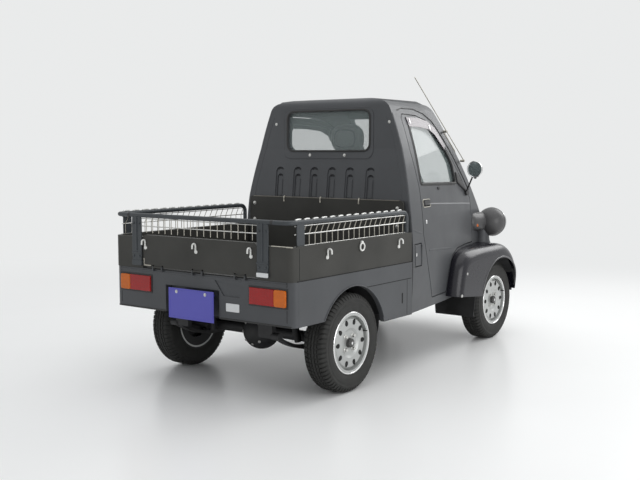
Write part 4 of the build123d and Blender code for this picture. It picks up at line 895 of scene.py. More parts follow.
@dataclass
class RoadTyre:
    """A small road tyre with ribs, shoulder blocks and plain sidewalls, which stands for the plain solid."""

    radius: float = 0.27
    half: float = 0.0725
    bead: float = 0.1575
    groove: float = 0.0062
    notch: float = 0.0075
    pitches: int = 64
    drawn_wall: float = 0.27 - 0.1575

    def section(self) -> Array:
        """Half a section from the bead to the middle.

        Radii on the sidewall are drawn for a wall of one height and scaled to this tyre's own.

        Returns:
            Rows of (distance out, radius, groove, notch).
        """
        r, w = self.radius, self.half
        rows = np.array([
            (w - 0.014, self.bead, 0, 0), (w - 0.0075, 0.170, 0, 0), (w - 0.0045, 0.173, 0, 0),
            (w - 0.0048, 0.179, 0, 0), (w - 0.0026, 0.182, 0, 0), (w - 0.0008, 0.200, 0, 0),
            (w, 0.219, 0, 0), (w, 0.2215, 0, 0), (w - 0.0012, 0.2225, 0, 0), (w - 0.0012, 0.236, 0, 0),
            (w - 0.0004, 0.2375, 0, 0), (w - 0.003, 0.244, 0, 0), (w - 0.0045, 0.2465, 0, 0.35),
            (w - 0.008, 0.2545, 0, 0.9), (w - 0.0135, r - 0.0075, 0, 1), (w - 0.0185, r - 0.003, 0, 1),
            (w - 0.0245, r - 0.0006, 0, 1), (0.0335, r, 0, 1), (0.033, r, 0, 1), (0.0315, r, 1, 0),
            (0.0275, r, 1, 0), (0.026, r, 0, 0.5), (0.0135, r, 0, 0.5), (0.012, r, 1, 0),
            (0.0085, r, 1, 0), (0.007, r, 0, 0),
        ])
        scale = np.where(rows[:, 1] < r - 0.008, (r - self.bead) / self.drawn_wall, 1.0)
        rows[:, 1] = np.minimum(self.bead + (rows[:, 1] - self.bead) * scale, r)
        return rows

    def patch(self, centre: Numbers, axis: Numbers = (0, 1, 0)) -> Patch:
        """The whole tyre: radius less groove and less notch by turns, slanted across each shoulder.

        Args:
            centre: The wheel's middle.
            axis: The axle's direction.

        Returns:
            The closed tyre.
        """
        half = self.section()
        rows = np.vstack([half, half[::-1] * np.array([-1.0, 1, 1, 1])])
        turn = 2 * math.pi / self.pitches
        share = np.array([0.0, 0.26, 0.30, 0.96])
        angle = (np.arange(self.pitches)[:, None] * turn + share * turn).ravel()
        cut = np.tile([1.0, 1.0, 0.0, 0.0], self.pitches)
        zigzag = np.tile([-1.0, 0.2, 1.0, -0.2], self.pitches)
        out, reach, groove, notch = rows.T[:, :, None]
        reach = reach - self.groove * groove - self.notch * notch * cut
        inner = (np.abs(out) < 0.03) & (reach > self.radius - 0.02)
        out = out + np.where(inner, 0.0016, 0.0) * zigzag
        slant = angle + turn * 9.0 * np.clip(np.abs(out) - 0.02, 0, 0.05) * (reach > 0.24)
        first = np.cross(axis, UP)
        second = np.cross(axis, first)
        points = (
            np.asarray(centre, float)
            + out[..., None] * np.asarray(axis, float)
            + (reach * np.cos(slant))[..., None] * first
            + (reach * np.sin(slant))[..., None] * second
        )
        return Patch.grid(points, wrap_u=True, wrap_v=True).outward()


@dataclass
class Wheels:
    """The four road wheels' tyres and fittings, and the spare wheel on the nose.

    Each profile is (radius, distance out from the wheel's middle).
    """

    tyre: RoadTyre
    small: RoadTyre
    rear_reach: float = 0.567
    front_reach: float = 0.515
    disc: float = 0.047
    stud_circle: float = 0.05
    vent_circle: float = 0.117
    vent_out: float = 0.0562
    valve_circle: float = 0.139
    valve_turn: float = 0.35
    spare_x: float = 1.285
    spare_z: float = 0.545
    lip: Profile = ((0.1605, 0.0625), (0.164, 0.0672), (0.168, 0.0678), (0.1705, 0.066), (0.1705, 0.0625))
    line: Profile = ((0.1435, 0.0392), (0.1465, 0.0405), (0.1495, 0.0392), (0.1495, 0.034), (0.1435, 0.034))
    cap: Profile = ((0.0272, 0.046), (0.0272, 0.0505), (0.0255, 0.052), (0.0255, 0.0640), (0.0235, 0.0672),
                    (0.0165, 0.069), (0.004, 0.0695))
    spot: Profile = ((0.0085, 0.0685), (0.0085, 0.0705), (0.006, 0.0714), (0.001, 0.0716))
    # A dark ring lining the rim's inner flange: painted shade inside the wheel.
    inner_shade: Profile = ((0.098, -0.050), (0.128, -0.058), (0.166, -0.0665), (0.170, -0.0665),
                       (0.170, -0.0635), (0.128, -0.054), (0.098, -0.046))
    valve: Profile = ((0.0046, 0), (0.0042, 0.014), (0.003, 0.016), (0.003, 0.022), (0.0036, 0.0225),
                      (0.0036, 0.031), (0.001, 0.0325))
    spare_lip: Profile = ((0.144, -0.004), (0.1465, 0.006), (0.150, 0.009), (0.153, 0.006), (0.153, -0.004))
    pressed: Profile = ((0.098, -0.002), (0.100, 0.0035), (0.104, 0.005), (0.108, 0.0035), (0.110, -0.002))

    def build(self) -> None:
        """Make every wheel's fittings."""
        axles = (("rear", REAR_AXLE_X, self.rear_reach), ("front", FRONT_AXLE_X, self.front_reach))
        for end, x, reach in axles:
            for side in SIDES:
                self.road_wheel(f"{end}_{hand(side)}", (x, side * reach, AXLE_Z), side)
        self.spare()

    def road_wheel(self, name: str, centre: Triple, side: float) -> None:
        """Tyre, lip, nuts, hub cap, a dark ring of painted shade inside the rim, and valve of one wheel.

        Args:
            name: The wheel's place, such as rear_left.
            centre: The wheel's middle.
            side: -1 for right and +1 for left.
        """
        body = "wheel_" + name
        middle = np.asarray(centre)
        out = side * ACROSS
        tyre = add(self.tyre.patch(centre), "road_tyre_" + name, Finish.TYRE, body)
        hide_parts("tyre_" + name)
        lip = turned(self.lip, centre, out, 72, ring=True)
        add(lip, f"rim_lip_{name}", Finish.CHROME, body, "wheel_silver")
        line = turned(self.line, centre, out, 64, ring=True)
        add(line, f"rim_line_{name}", Finish.GAP, body, "wheel_silver")
        # Dark slots over the vents: painted shade in the holes.
        vents = [self.vent(middle + out * self.vent_out, turn) for turn in np.radians(36 * np.arange(10))]
        add(vents, f"vent_shades_{name}", Finish.GAP, body, "wheel_silver")
        angle = np.radians(45 + 90 * np.arange(4))
        studs = self.stud_circle * np.stack([np.cos(angle), 0 * angle, np.sin(angle)], axis=1)
        nuts = [self.nut(middle + stud + out * self.disc, out) for stud in studs]
        add(nuts, f"wheel_nuts_{name}", Finish.NUT, body, "wheel_silver")
        add(turned(self.cap, centre, out, 40), f"hub_cap_{name}", Finish.CAP, body)
        add(turned(self.spot, centre, out, 24), f"hub_spot_{name}", Finish.CHROME, body, "wheel_silver")
        # Chassis black ring on the rim's inner side: painted shade where the wheel's inside is in shadow.
        inner_shade = turned(self.inner_shade, centre, out, 60, ring=True)
        add(inner_shade, f"brake_dust_shield_{name}", Finish.CHASSIS, body)
        radial = np.array([math.cos(self.valve_turn), 0, math.sin(self.valve_turn)])
        foot = middle + out * 0.045 + self.valve_circle * radial
        stem = turned(self.valve, foot, out + np.array([0.1, 0, 0.05]), 14)
        add(stem, f"valve_{name}", Finish.RUBBER, body, "tyre_rubber")

    def vent(self, middle: Array, turn: float) -> Patch:
        """A dark slot of painted shade on the disc over a vent: a shallow closed ellipse, long along the
        wheel's radius.

        Args:
            middle: The disc's middle.
            turn: The vent's angle round the wheel.

        Returns:
            The slot.
        """
        angle = np.linspace(0, 2 * math.pi, 24, endpoint=False)
        radial = np.array([math.cos(turn), 0.0, math.sin(turn)])
        across = np.array([-math.sin(turn), 0.0, math.cos(turn)])
        wide = 0.0128 * (1 - 0.2 * np.cos(angle)) * np.sin(angle)
        rim = self.vent_circle * radial + 0.0172 * np.cos(angle)[:, None] * radial + wide[:, None] * across
        rows = [middle + rim + lift * ACROSS for lift in (-0.0008, 0.0008)]
        patch = Patch.grid(np.stack(rows), wrap_v=True)
        patch.cap(2, 24)
        return patch.outward()

    @staticmethod
    def nut(foot: Array, out: Array) -> Patch:
        """A hexagon nut with a skirt and a domed top over a stud.

        Args:
            foot: The nut's seat on the disc.
            out: The way out.

        Returns:
            The nut.
        """
        skirt = turned([(0.0135, -0.001), (0.013, 0.0025), (0.0108, 0.004)], foot, out, 24)
        hexagon = turned([(0.0106, 0.003), (0.0106, 0.0118), (0.0094, 0.0134)], foot, out, 6)
        dome = turned([(0.0088, 0.0125), (0.0078, 0.0152), (0.0045, 0.0168), (0.001, 0.0172)], foot, out, 20)
        return Patch.join([skirt, hexagon, dome])

    def spare(self) -> None:
        """The spare wheel's tyre, its bright lip, the pressed ring on its disc and the clamp bolt."""
        tyre = self.small.patch((self.spare_x + 0.055, 0, self.spare_z), (1, 0, 0))
        tyre = add(tyre, "spare_road_tyre", Finish.TYRE)
        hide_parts("spare_tyre")
        face = (self.spare_x + 0.08, 0, self.spare_z)
        lip = turned(self.spare_lip, face, AHEAD, 72, ring=True)
        add(lip, "spare_rim_lip", Finish.CHROME, slot="wheel_silver")
        ring = turned(self.pressed, face, AHEAD, 64, ring=True)
        add(ring, "spare_pressed_ring", Finish.WHEEL)
        add(bolt(face, AHEAD, 0.017, 0.014), "spare_clamp_bolt", Finish.NUT, slot="wheel_silver")


# Cab


@dataclass
class CabTrim:
    """Seals, handles, locks, mirrors' faces, gutters and bolts of the cab and its doors.

    Outlines on a side are (x, z), and those on the front and the rear are (y, z).
    """

    nodes: dict[str, Piece]
    door_window: Outline = (
        (0.006, 1.489), (0.166, 1.487), (0.318, 1.472), (0.409, 1.437), (0.509, 1.332), (0.595, 1.225),
        (0.606, 1.100), (-0.015, 1.111),
    )
    waist: Outline = ((-0.012, 1.106), (0.3, 1.100), (0.603, 1.095))
    crease: Outline = ((-0.03, 0.987), (0.20, 0.977), (0.45, 0.966), (0.70, 0.955), (0.855, 0.947))
    low_crease: Outline = ((0.03, 0.700), (0.24, 0.690), (0.42, 0.678))
    mirror_panel: Outline = ((0.628, 1.096), (0.628, 1.165), (0.648, 1.165), (0.792, 1.052), (0.792, 1.028))
    door_card: Outline = (
        (0.06, 0.66), (0.00, 0.80), (0.00, 1.06), (0.60, 1.05), (0.80, 0.95), (0.80, 0.72), (0.50, 0.69),
    )
    handle_place: tuple[float, float] = (0.028, 0.988)
    handle_size: tuple[float, float] = (0.118, 0.046)
    lock_place: tuple[float, float] = (-0.004, 0.876)
    gutter: Outline = (
        (-0.105, 1.552), (-0.04, 1.566), (0.15, 1.568), (0.30, 1.545), (0.42, 1.500), (0.53, 1.398),
        (0.64, 1.285), (0.76, 1.155), (0.87, 1.040),
    )
    # Path of a bright strip up the screen pillar: a painted highlight.
    pillar_highlight: Outline = ((0.600, 1.432), (0.70, 1.334), (0.792, 1.246))
    edge_line: Outline = ((-0.2285, 0.39), (-0.2285, 0.60), (-0.2285, 0.82))
    corner_crease: Outline = ((-0.222, 0.846), (-0.15, 0.826), (-0.085, 0.812))
    rear_window: Triple = (0.312, 1.311, 1.551)
    screen: tuple[float, float, float, float] = (0.375, 0.318, 1.075, 1.53)
    back_bolts: Outline = ((0.133, 1.281), (-0.133, 1.281), (0.411, 1.479), (-0.452, 1.479))
    back_flange: Outline = ((0.590, 0.84), (0.580, 0.95), (0.556, 1.10), (0.520, 1.25), (0.475, 1.40),
                            (0.430, 1.52))
    rib_widths: Outline = ((0.366, 1.0), (0.223, 1.0), (0.091, 1.0), (-0.045, 1.0), (-0.181, 1.0),
                           (-0.331, 1.3))
    rib_steps: Profile = ((0.0195, 1.1975, 0.012), (0.0150, 1.1540, 0.007))
    corner_line: Profile = ((0.70, 0.0), (1.013, 0.0), (1.32, 0.033), (1.53, 0.0355))

    def build(self) -> None:
        """Dress both doors and the cab."""
        self.shell = Skin(self.nodes["cab_shell"], self.nodes["nose_panel"], self.nodes["cab_back_panel"])
        for side in SIDES:
            self.door(side)
            self.pillar(side)
            self.mirror(side)
        self.windows()
        self.back_panel()
        self.nose()

    @staticmethod
    def widened(outline: Array | Outline, by: float) -> Array:
        """An outline moved outwards: each corner along the sum of its two edges' outward normals.

        Args:
            outline: Closed outline of shape (n, 2).
            by: How far each edge moves.

        Returns:
            The larger outline.
        """
        ring = np.asarray(outline, float)
        after = np.roll(ring, -1, axis=0) - ring
        after = after / np.linalg.norm(after, axis=1, keepdims=True)
        normal = np.stack([after[:, 1], -after[:, 0]], axis=1)
        before = np.roll(normal, 1, axis=0)
        turn = np.sign(np.sum((ring - ring.mean(axis=0)) * normal))
        return ring + turn * by * (normal + before) / (1 + np.sum(normal * before, axis=1))[:, None]

    def door(self, side: float) -> None:
        """Rubber, creases with a painted highlight on the upper one, handle, lock, waist block, mirror panel,
        visor clips and inner panel of one door.

        Args:
            side: -1 for right and +1 for left.
        """
        name = hand(side)
        body = name + "_door"
        look = Look.flank(side)
        skin = Skin(self.nodes["door_" + name])
        rubber = rounded_loop(self.widened(self.door_window, 0.007), 0.022)
        inner = rounded_loop(self.widened(self.door_window, 0.001), 0.018)
        for key, path, width, height, closed, finish in (
            ("rubber", rubber, 0.021, 0.0035, True, Finish.RUBBER),
            ("rubber_lip", inner, 0.006, 0.0055, True, Finish.RUBBER),
            ("waist_seal", self.waist, 0.014, 0.006, False, Finish.RUBBER),
            # The crease is a real raised bead; its lighter paint is a painted highlight.
            ("crease", self.crease, 0.009, 0.0026, False, Finish.CREASE),
            ("low_crease", self.low_crease, 0.012, 0.0014, False, Finish.BODY),
        ):
            add(skin.strip(path, look, width, height, closed), f"door_{key}_{name}", finish, body)
        self.handle(skin, look, name, body)
        barrel = [(0.0125, -0.002), (0.0125, 0.0025), (0.0105, 0.0036), (0.0035, 0.0036), (0.0032, 0.002),
                  (0.0005, 0.002)]
        lock = heads(barrel, skin.lay([self.lock_place], look), 28)
        add(lock[0], f"door_lock_{name}", Finish.CHROME, body)
        stop = skin.plate(rectangle((0.262, 1.072), (0.034, 0.017), 0.006), look, 0.006)
        add(stop, f"door_waist_block_{name}", Finish.PLASTIC, body)
        mount = skin.plate(rounded_loop(np.array(self.mirror_panel), 0.012), look, 0.010, edge=0.006)
        add(mount, f"mirror_foot_panel_{name}", Finish.PLASTIC, body)
        visor = Skin(self.nodes["door_visor_" + name])
        clips = [visor.plate(rectangle(place, (0.012, 0.030), 0.004), look, 0.0035)
                 for place in ((0.020, 1.488), (0.330, 1.458))]
        add(clips, f"visor_clips_{name}", Finish.CHROME, body)
        self.door_inside(skin, side)

    def door_inside(self, skin: Skin, side: float) -> None:
        """Card, arm rest, handle and window winder on the inside of one door.

        Args:
            skin: The door.
            side: -1 for right and +1 for left.
        """
        name = hand(side)
        body = name + "_door"
        within = Look.from_within(side)
        for key, outline, height, edge, finish in (
            ("card", rounded_loop(np.array(self.door_card), 0.05), 0.008, 0.01, Finish.TRIM),
            ("arm_rest", rectangle((0.30, 0.90), (0.34, 0.055), 0.022), 0.04, 0.012, Finish.PLASTIC),
            ("inner_handle", rectangle((0.60, 0.985), (0.09, 0.032), 0.014), 0.022, 0.006, Finish.PLASTIC),
        ):
            panel = skin.plate(outline, within, height, edge=edge, far=0.0)
            add(panel, f"door_{key}_{name}", finish, body, "black_plastic")
        points, normals = skin.lay([(0.20, 0.79)], within, far=0.0)
        foot, out = points[0], normals[0]
        winder = turned([(0.020, -0.002), (0.020, 0.012), (0.014, 0.016), (0.002, 0.017)], foot, out, 24)
        arm = tube([foot + out * 0.012, foot + out * 0.016 + np.array([0.055, 0, 0.06])], 0.007, 8)
        add([winder, arm], f"window_winder_{name}", Finish.PLASTIC, body)

    def handle(self, skin: Skin, look: Look, name: str, body: str) -> None:
        """A dark cup with a bright rim and a flap over it.

        Args:
            skin: The door.
            look: The side that it is laid from.
            name: The door's side.
            body: The body that carries it.
        """
        (x, z), (long, tall) = self.handle_place, self.handle_size
        outline = rectangle((x, z), (long, tall), 0.016)
        add(skin.plate(outline, look, 0.0012, edge=0.001), f"handle_cup_{name}", Finish.GAP, body)
        rim = skin.strip(outline, look, 0.0055, 0.0032, closed=True, step=0.006)
        add(rim, f"handle_rim_{name}", Finish.WIRE, body, "hook_white")
        outline = rectangle((x, z + 0.006), (long - 0.018, tall - 0.024), 0.007)
        flap = skin.plate(outline, look, 0.0085, edge=0.004)
        add(flap, f"handle_flap_{name}", Finish.PLASTIC, body)

    def pillar(self, side: float) -> None:
        """Gutter along the roof's edge, a bright strip up the screen pillar as a painted highlight, and lines
        at the cab's rear corner.

        Args:
            side: -1 for right and +1 for left.
        """
        for key, path, width, height, finish, slot in (
            ("drip_rail", self.gutter, 0.007, 0.0045, Finish.RUBBER, "black_plastic"),
            # The bright metal strip up the pillar stands for the pillar's highlight: a painted highlight.
            ("pillar_painted_highlight", self.pillar_highlight, 0.010, 0.004, Finish.WIRE, "rack_grey"),
            ("cab_edge_line", self.edge_line, 0.004, 0.0006, Finish.GAP, "body_grey"),
            ("cab_corner_crease", self.corner_crease, 0.012, 0.0016, Finish.BODY, "body_grey"),
        ):
            strip = self.shell.strip(path, Look.flank(side), width, height)
            add(strip, f"{key}_{hand(side)}", finish, slot=slot)

    def mirror(self, side: float) -> None:
        """The mirror's face, its bright rim and the joint under its head.

        Args:
            side: -1 for right and +1 for left.
        """
        name = hand(side)
        body = name + "_door"
        head = np.array([0.674, side * 0.5830, 1.186])
        glass = [(0.0485, 0.0118), (0.0485, 0.0136), (0.030, 0.0146), (0.010, 0.0150), (0.001, 0.0150)]
        add(turned(glass, head, -AHEAD, 48), f"mirror_face_{name}", Finish.MIRROR, body)
        bezel = [(0.0480, 0.0120), (0.0490, 0.0160), (0.0520, 0.0175), (0.0550, 0.0160), (0.0555, 0.0100),
                 (0.0540, 0.0100)]
        rim = turned(bezel, head, -AHEAD, 56, ring=True)
        add(rim, f"mirror_rim_{name}", Finish.CHROME, body)
        barrel = [(0.0075, -0.012), (0.0105, -0.008), (0.0105, 0.008), (0.0075, 0.012)]
        neck = head + np.array([0.010, -side * 0.006, -0.050])
        joint = turned(barrel, neck, (0.35, -side * 0.35, -0.8), 20)
        add(joint, f"mirror_joint_{name}", Finish.PLASTIC, body)

    def windows(self) -> None:
        """Rubbers round the windscreen and the rear window."""
        half, low, top = self.rear_window
        outer = rectangle((0, (low + top) / 2), (2 * half + 0.010, top - low + 0.010), 0.053, 8)
        rubber = self.shell.strip(outer, Look.REAR, 0.013, 0.005, closed=True)
        add(rubber, "rear_window_rubber", Finish.RUBBER)
        low_half, top_half, z0, z1 = self.screen
        corners = ((-low_half, z0), (low_half, z0), (top_half, z1), (-top_half, z1))
        ring = rounded_loop(self.widened(corners, 0.010), 0.030)
        rubber = self.shell.strip(ring, Look.FRONT, 0.026, 0.006, closed=True)
        add(rubber, "screen_rubber", Finish.RUBBER)

    def back_panel(self) -> None:
        """Bolts, corner rolls, ribs, window frame's edge line and corner flanges of the cab's back."""
        places = self.shell.lay(self.back_bolts, Look.REAR)
        add(bolts(places, 0.0062, 0.005), "cab_back_bolts", Finish.NUT)
        self.edge_rolls()
        self.ribs()
        frame = rectangle((0, 1.4135), (0.694, 0.315), 0.062, 8)
        line = self.shell.strip(frame, Look.REAR, 0.005, 0.0008, closed=True)
        add(line, "window_frame_line", Finish.BODY)
        for side in SIDES:
            flange = self.shell.strip(np.array(self.back_flange) * (side, 1), Look.REAR, 0.005, 0.0015)
            add(flange, f"cab_back_flange_{hand(side)}", Finish.BODY)

    def ribs(self) -> None:
        """In each rib a low bead, and a dark strip of painted shade round the top of its two steps, along half
        an ellipse.
        """
        arc = np.radians(np.linspace(18, 162, 12))
        shades, beads = [], []
        for y, wide in self.rib_widths:
            for half, top, tall in self.rib_steps:
                drawn = np.stack([y + half * wide * np.cos(arc), top - tall + tall * np.sin(arc)], axis=1)
                shades.append(bead(*self.shell.lay(drawn, Look.REAR), 0.0135, 0.0009))
            beads.append(self.shell.strip([(y, 1.128), (y, 1.02)], Look.REAR, 0.034, 0.0042, step=0.02))
        add(shades, "rib_shades", Finish.SHADE)
        add(beads, "rib_beads", Finish.BODY)

    def edge_rolls(self) -> None:
        """Rolled edges on the cab's two rear corners: a tube whose middle lies just inside the corner."""
        z = np.linspace(0.70, 1.53, 40)
        heights, leans = np.transpose(self.corner_line)
        x = np.interp(z, heights, CAB_BACK_X + leans)
        for side in SIDES:
            points, _ = self.shell.lay(np.stack([x + 0.006, z], axis=1), Look.flank(side))
            middle = np.stack([x + 0.0088, points[:, 1] - side * 0.0085, z], axis=1)
            add(tube(middle, 0.0102, 14), f"cab_corner_roll_{hand(side)}", Finish.BODY)

    def nose(self) -> None:
        """Air slots under the screen, a seam over the nose and washer jets."""
        slots = [self.shell.strip([(y + end, 1.026) for end in (-0.026, 0.026)], Look.FRONT, 0.009, 0.0012,
                                  step=0.01)
                 for y in np.linspace(-0.30, 0.30, 9)]
        add(slots, "cowl_slots", Finish.GAP)
        seam = [(-0.34, 0.99), (-0.2, 0.986), (0.0, 0.984), (0.2, 0.986), (0.34, 0.99)]
        add(self.shell.strip(seam, Look.FRONT, 0.005, 0.0006), "cowl_seam", Finish.GAP, slot="body_grey")
        jet = [(0.011, -0.002), (0.010, 0.006), (0.006, 0.010), (0.001, 0.011)]
        jets = heads(jet, self.shell.lay([(-0.14, 1.002), (0.14, 1.002)], Look.FRONT), 16)
        add(jets, "washer_jets", Finish.PLASTIC)


# Lamps and wings


@dataclass
class LampsAndWings:
    """Headlamp balls with their arms, reflectors and rims, signals, wing lips, bolts and mud flaps.

    Each profile is (radius, distance along the axis), and ball is (radius, wall).
    """

    nodes: dict[str, Piece]
    lamp: Triple = (1.135, 0.48, 0.805)
    ball: tuple[float, float] = (0.1025, 0.006)
    mouth: float = 0.055
    arm_foot: Triple = (0.878, 0.396, 0.812)
    arm: Profile = ((0.001, -0.001), (0.026, 0.001), (0.044, 0.007), (0.058, 0.018), (0.0665, 0.036),
                    (0.069, 0.060), (0.067, 0.210))
    foot: Profile = ((0.074, 0.0), (0.066, 0.010), (0.058, 0.030), (0.054, 0.060), (0.054, 0.110))
    signal_place: Triple = (0.944, 0.458, 0.802)
    signal: Profile = ((0.025, -0.012), (0.025, 0.008), (0.0225, 0.0125), (0.015, 0.0155), (0.001, 0.0165))
    signal_rim: Profile = ((0.0240, -0.006), (0.0290, -0.006), (0.0300, 0.001), (0.0285, 0.005),
                           (0.0262, 0.005), (0.0240, 0.003))
    bulb: Profile = ((0.014, -0.042), (0.014, -0.030), (0.008, -0.026), (0.008, 0.002), (0.006, 0.007),
                     (0.001, 0.009))
    lens_rim: Profile = ((0.0800, -0.006), (0.0800, 0.004), (0.0835, 0.0075), (0.0885, 0.006),
                         (0.0905, 0.0), (0.0905, -0.006))
    bowl: float = 0.0765
    arch: float = 0.307
    wing_screws: Outline = ((0.405, 0.372), (0.470, 0.510), (1.27, 0.400))
    flap_sizes: tuple[tuple[str, float, float, float, float, float], ...] = (
        ("front", 0.640, 0.400, 0.612, 0.400, 0.205), ("rear", -0.565, 0.470, 0.622, 0.385, 0.255),
    )

    def build(self) -> None:
        """Dress both sides."""
        self.pods()
        self.reflector()
        wings = Skin(self.nodes["front_wings"])
        for side in SIDES:
            self.wing(wings, side)
        self.flaps()

    @staticmethod
    def both(patch: Patch) -> Patch:
        """A left fitting with its mirror image."""
        return Patch.join([patch, patch.mirrored()])

    def pods(self) -> None:
        """Lamp balls open to the front, the round arms that carry them, their feet on the wings, and signals.

        A ball is an outer and an inner arc about the lamp's middle, turned about the way ahead.
        """
        x, y, z = self.lamp
        radius, wall = self.ball
        outer = np.linspace(math.acos(-1.0) - 0.004, math.acos(self.mouth / radius), 30)
        inner = np.linspace(math.acos(self.mouth / (radius - wall)), math.pi / 2, 12)
        shell = [radius * np.stack([np.sin(outer), np.cos(outer)], axis=1)]
        shell += [(radius - wall) * np.stack([np.sin(inner), np.cos(inner)], axis=1), [(0.001, 0.0)]]
        ball = turned(np.vstack(shell), self.lamp, AHEAD, 64)
        arm = turned(self.arm, self.arm_foot, (1.0, 0.16, -0.02), 48)
        foot = turned(self.foot, (x - 0.050, y - 0.052, z - 0.160), UP, 40)
        signal = turned(self.signal, self.signal_place, ACROSS, 36)
        pods = add(self.both(Patch.join([ball, arm])), "lamp_balls_and_arms", Finish.POD)
        feet = add(self.both(foot), "lamp_feet", Finish.BODY)
        for piece in (pods, feet):
            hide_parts("headlamp_pods")
        low, high = radius - 0.001, radius + 0.0008
        seam = [(low, -0.002), (high, -0.001), (high, 0.001), (low, 0.002)]
        seams = self.both(turned(seam, (x + 0.004, y, z), AHEAD, 64, ring=True))
        add(seams, "lamp_ball_seams", Finish.GAP, slot="body_grey")
        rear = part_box("amber_lenses")[0][0]
        tail = block((rear + 0.0085, 0.56, 0.5705), (0.0085, 0.0385, 0.0435), 0.004)
        signals = add(self.both(Patch.join([signal, tail])), "amber_signals", Finish.AMBER)
        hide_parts("amber_lenses")

    def reflector(self) -> None:
        """A paraboloid behind each lens, its bulb, the bright rim and the rubber round each front signal."""
        r = np.linspace(0.012, self.bowl, 14)
        inner = np.stack([r, -0.040 + 0.078 * (r / self.bowl) ** 2], axis=1)
        outer = np.stack([r[::-1] + 0.002, inner[::-1, 1] - 0.002], axis=1)
        bowl = turned(np.vstack([inner, outer]), self.lamp, AHEAD, 48, ring=True)
        add(self.both(bowl), "lamp_reflectors", Finish.REFLECTOR)
        bulb = turned(self.bulb, self.lamp, AHEAD, 20)
        add(self.both(bulb), "lamp_bulbs", Finish.CHROME, slot="clear_lens")
        rim = turned(np.array(self.lens_rim) + (0.0, self.mouth), self.lamp, AHEAD, 60, ring=True)
        add(self.both(rim), "lamp_rims", Finish.CHROME, slot="clear_lens")
        base = turned(self.signal_rim, self.signal_place, ACROSS, 36, ring=True)
        add(self.both(base), "indicator_rims", Finish.RUBBER)

    def wing(self, wings: Skin, side: float) -> None:
        """The rolled lip of the arch, a bolt at its foot and two screws.

        Args:
            wings: The skin of both wings.
            side: -1 for right and +1 for left.
        """
        angle = np.radians(np.linspace(14, 159, 56))
        look = Look.flank(side)
        points, _ = wings.lay(ring_arc((FRONT_AXLE_X, AXLE_Z), self.arch, angle), look)
        path = points * (1, 0, 1) + side * ACROSS * (np.abs(points[:, 1:2]) - 0.002)
        lip = tube(path, 0.0062, 10, flat=0.9)
        add(lip, f"wing_lip_{hand(side)}", Finish.LIP)
        points, normals = wings.lay(self.wing_screws, look)
        screw = [(0.009, -0.001), (0.0085, 0.002), (0.004, 0.0035), (0.001, 0.0037)]
        pieces = bolts((points[:1], normals[:1]), 0.0065, 0.005) + heads(screw, (points[1:], normals[1:]), 18)
        add(pieces, f"wing_bolts_{hand(side)}", Finish.NUT)

    def flaps(self) -> None:
        """A rubber apron behind each front wheel and a small flap ahead of each rear one, as bent sheets.

        A sheet hangs at x - 0.03 v^2 + a small wave across its width.
        """
        u, v = np.meshgrid(np.linspace(0, 1, 10), np.linspace(0, 1, 14), indexing="ij")
        for name, x, y0, y1, top, low in self.flap_sizes:
            curl = x - 0.030 * v**2 + 0.004 * np.cos(2 * math.pi * u)
            middle = np.stack([curl, y0 + (y1 - y0) * u, top + (low - top) * v], axis=-1)
            faces = np.concatenate([middle + 0.002 * AHEAD, (middle - 0.002 * AHEAD)[::-1]])
            sheet = Patch.grid(faces.transpose(1, 0, 2), wrap_v=True)
            sheet.cap(14, 20)
            add(self.both(sheet.outward()), f"mud_flaps_{name}", Finish.RUBBER)


# Bed and rack


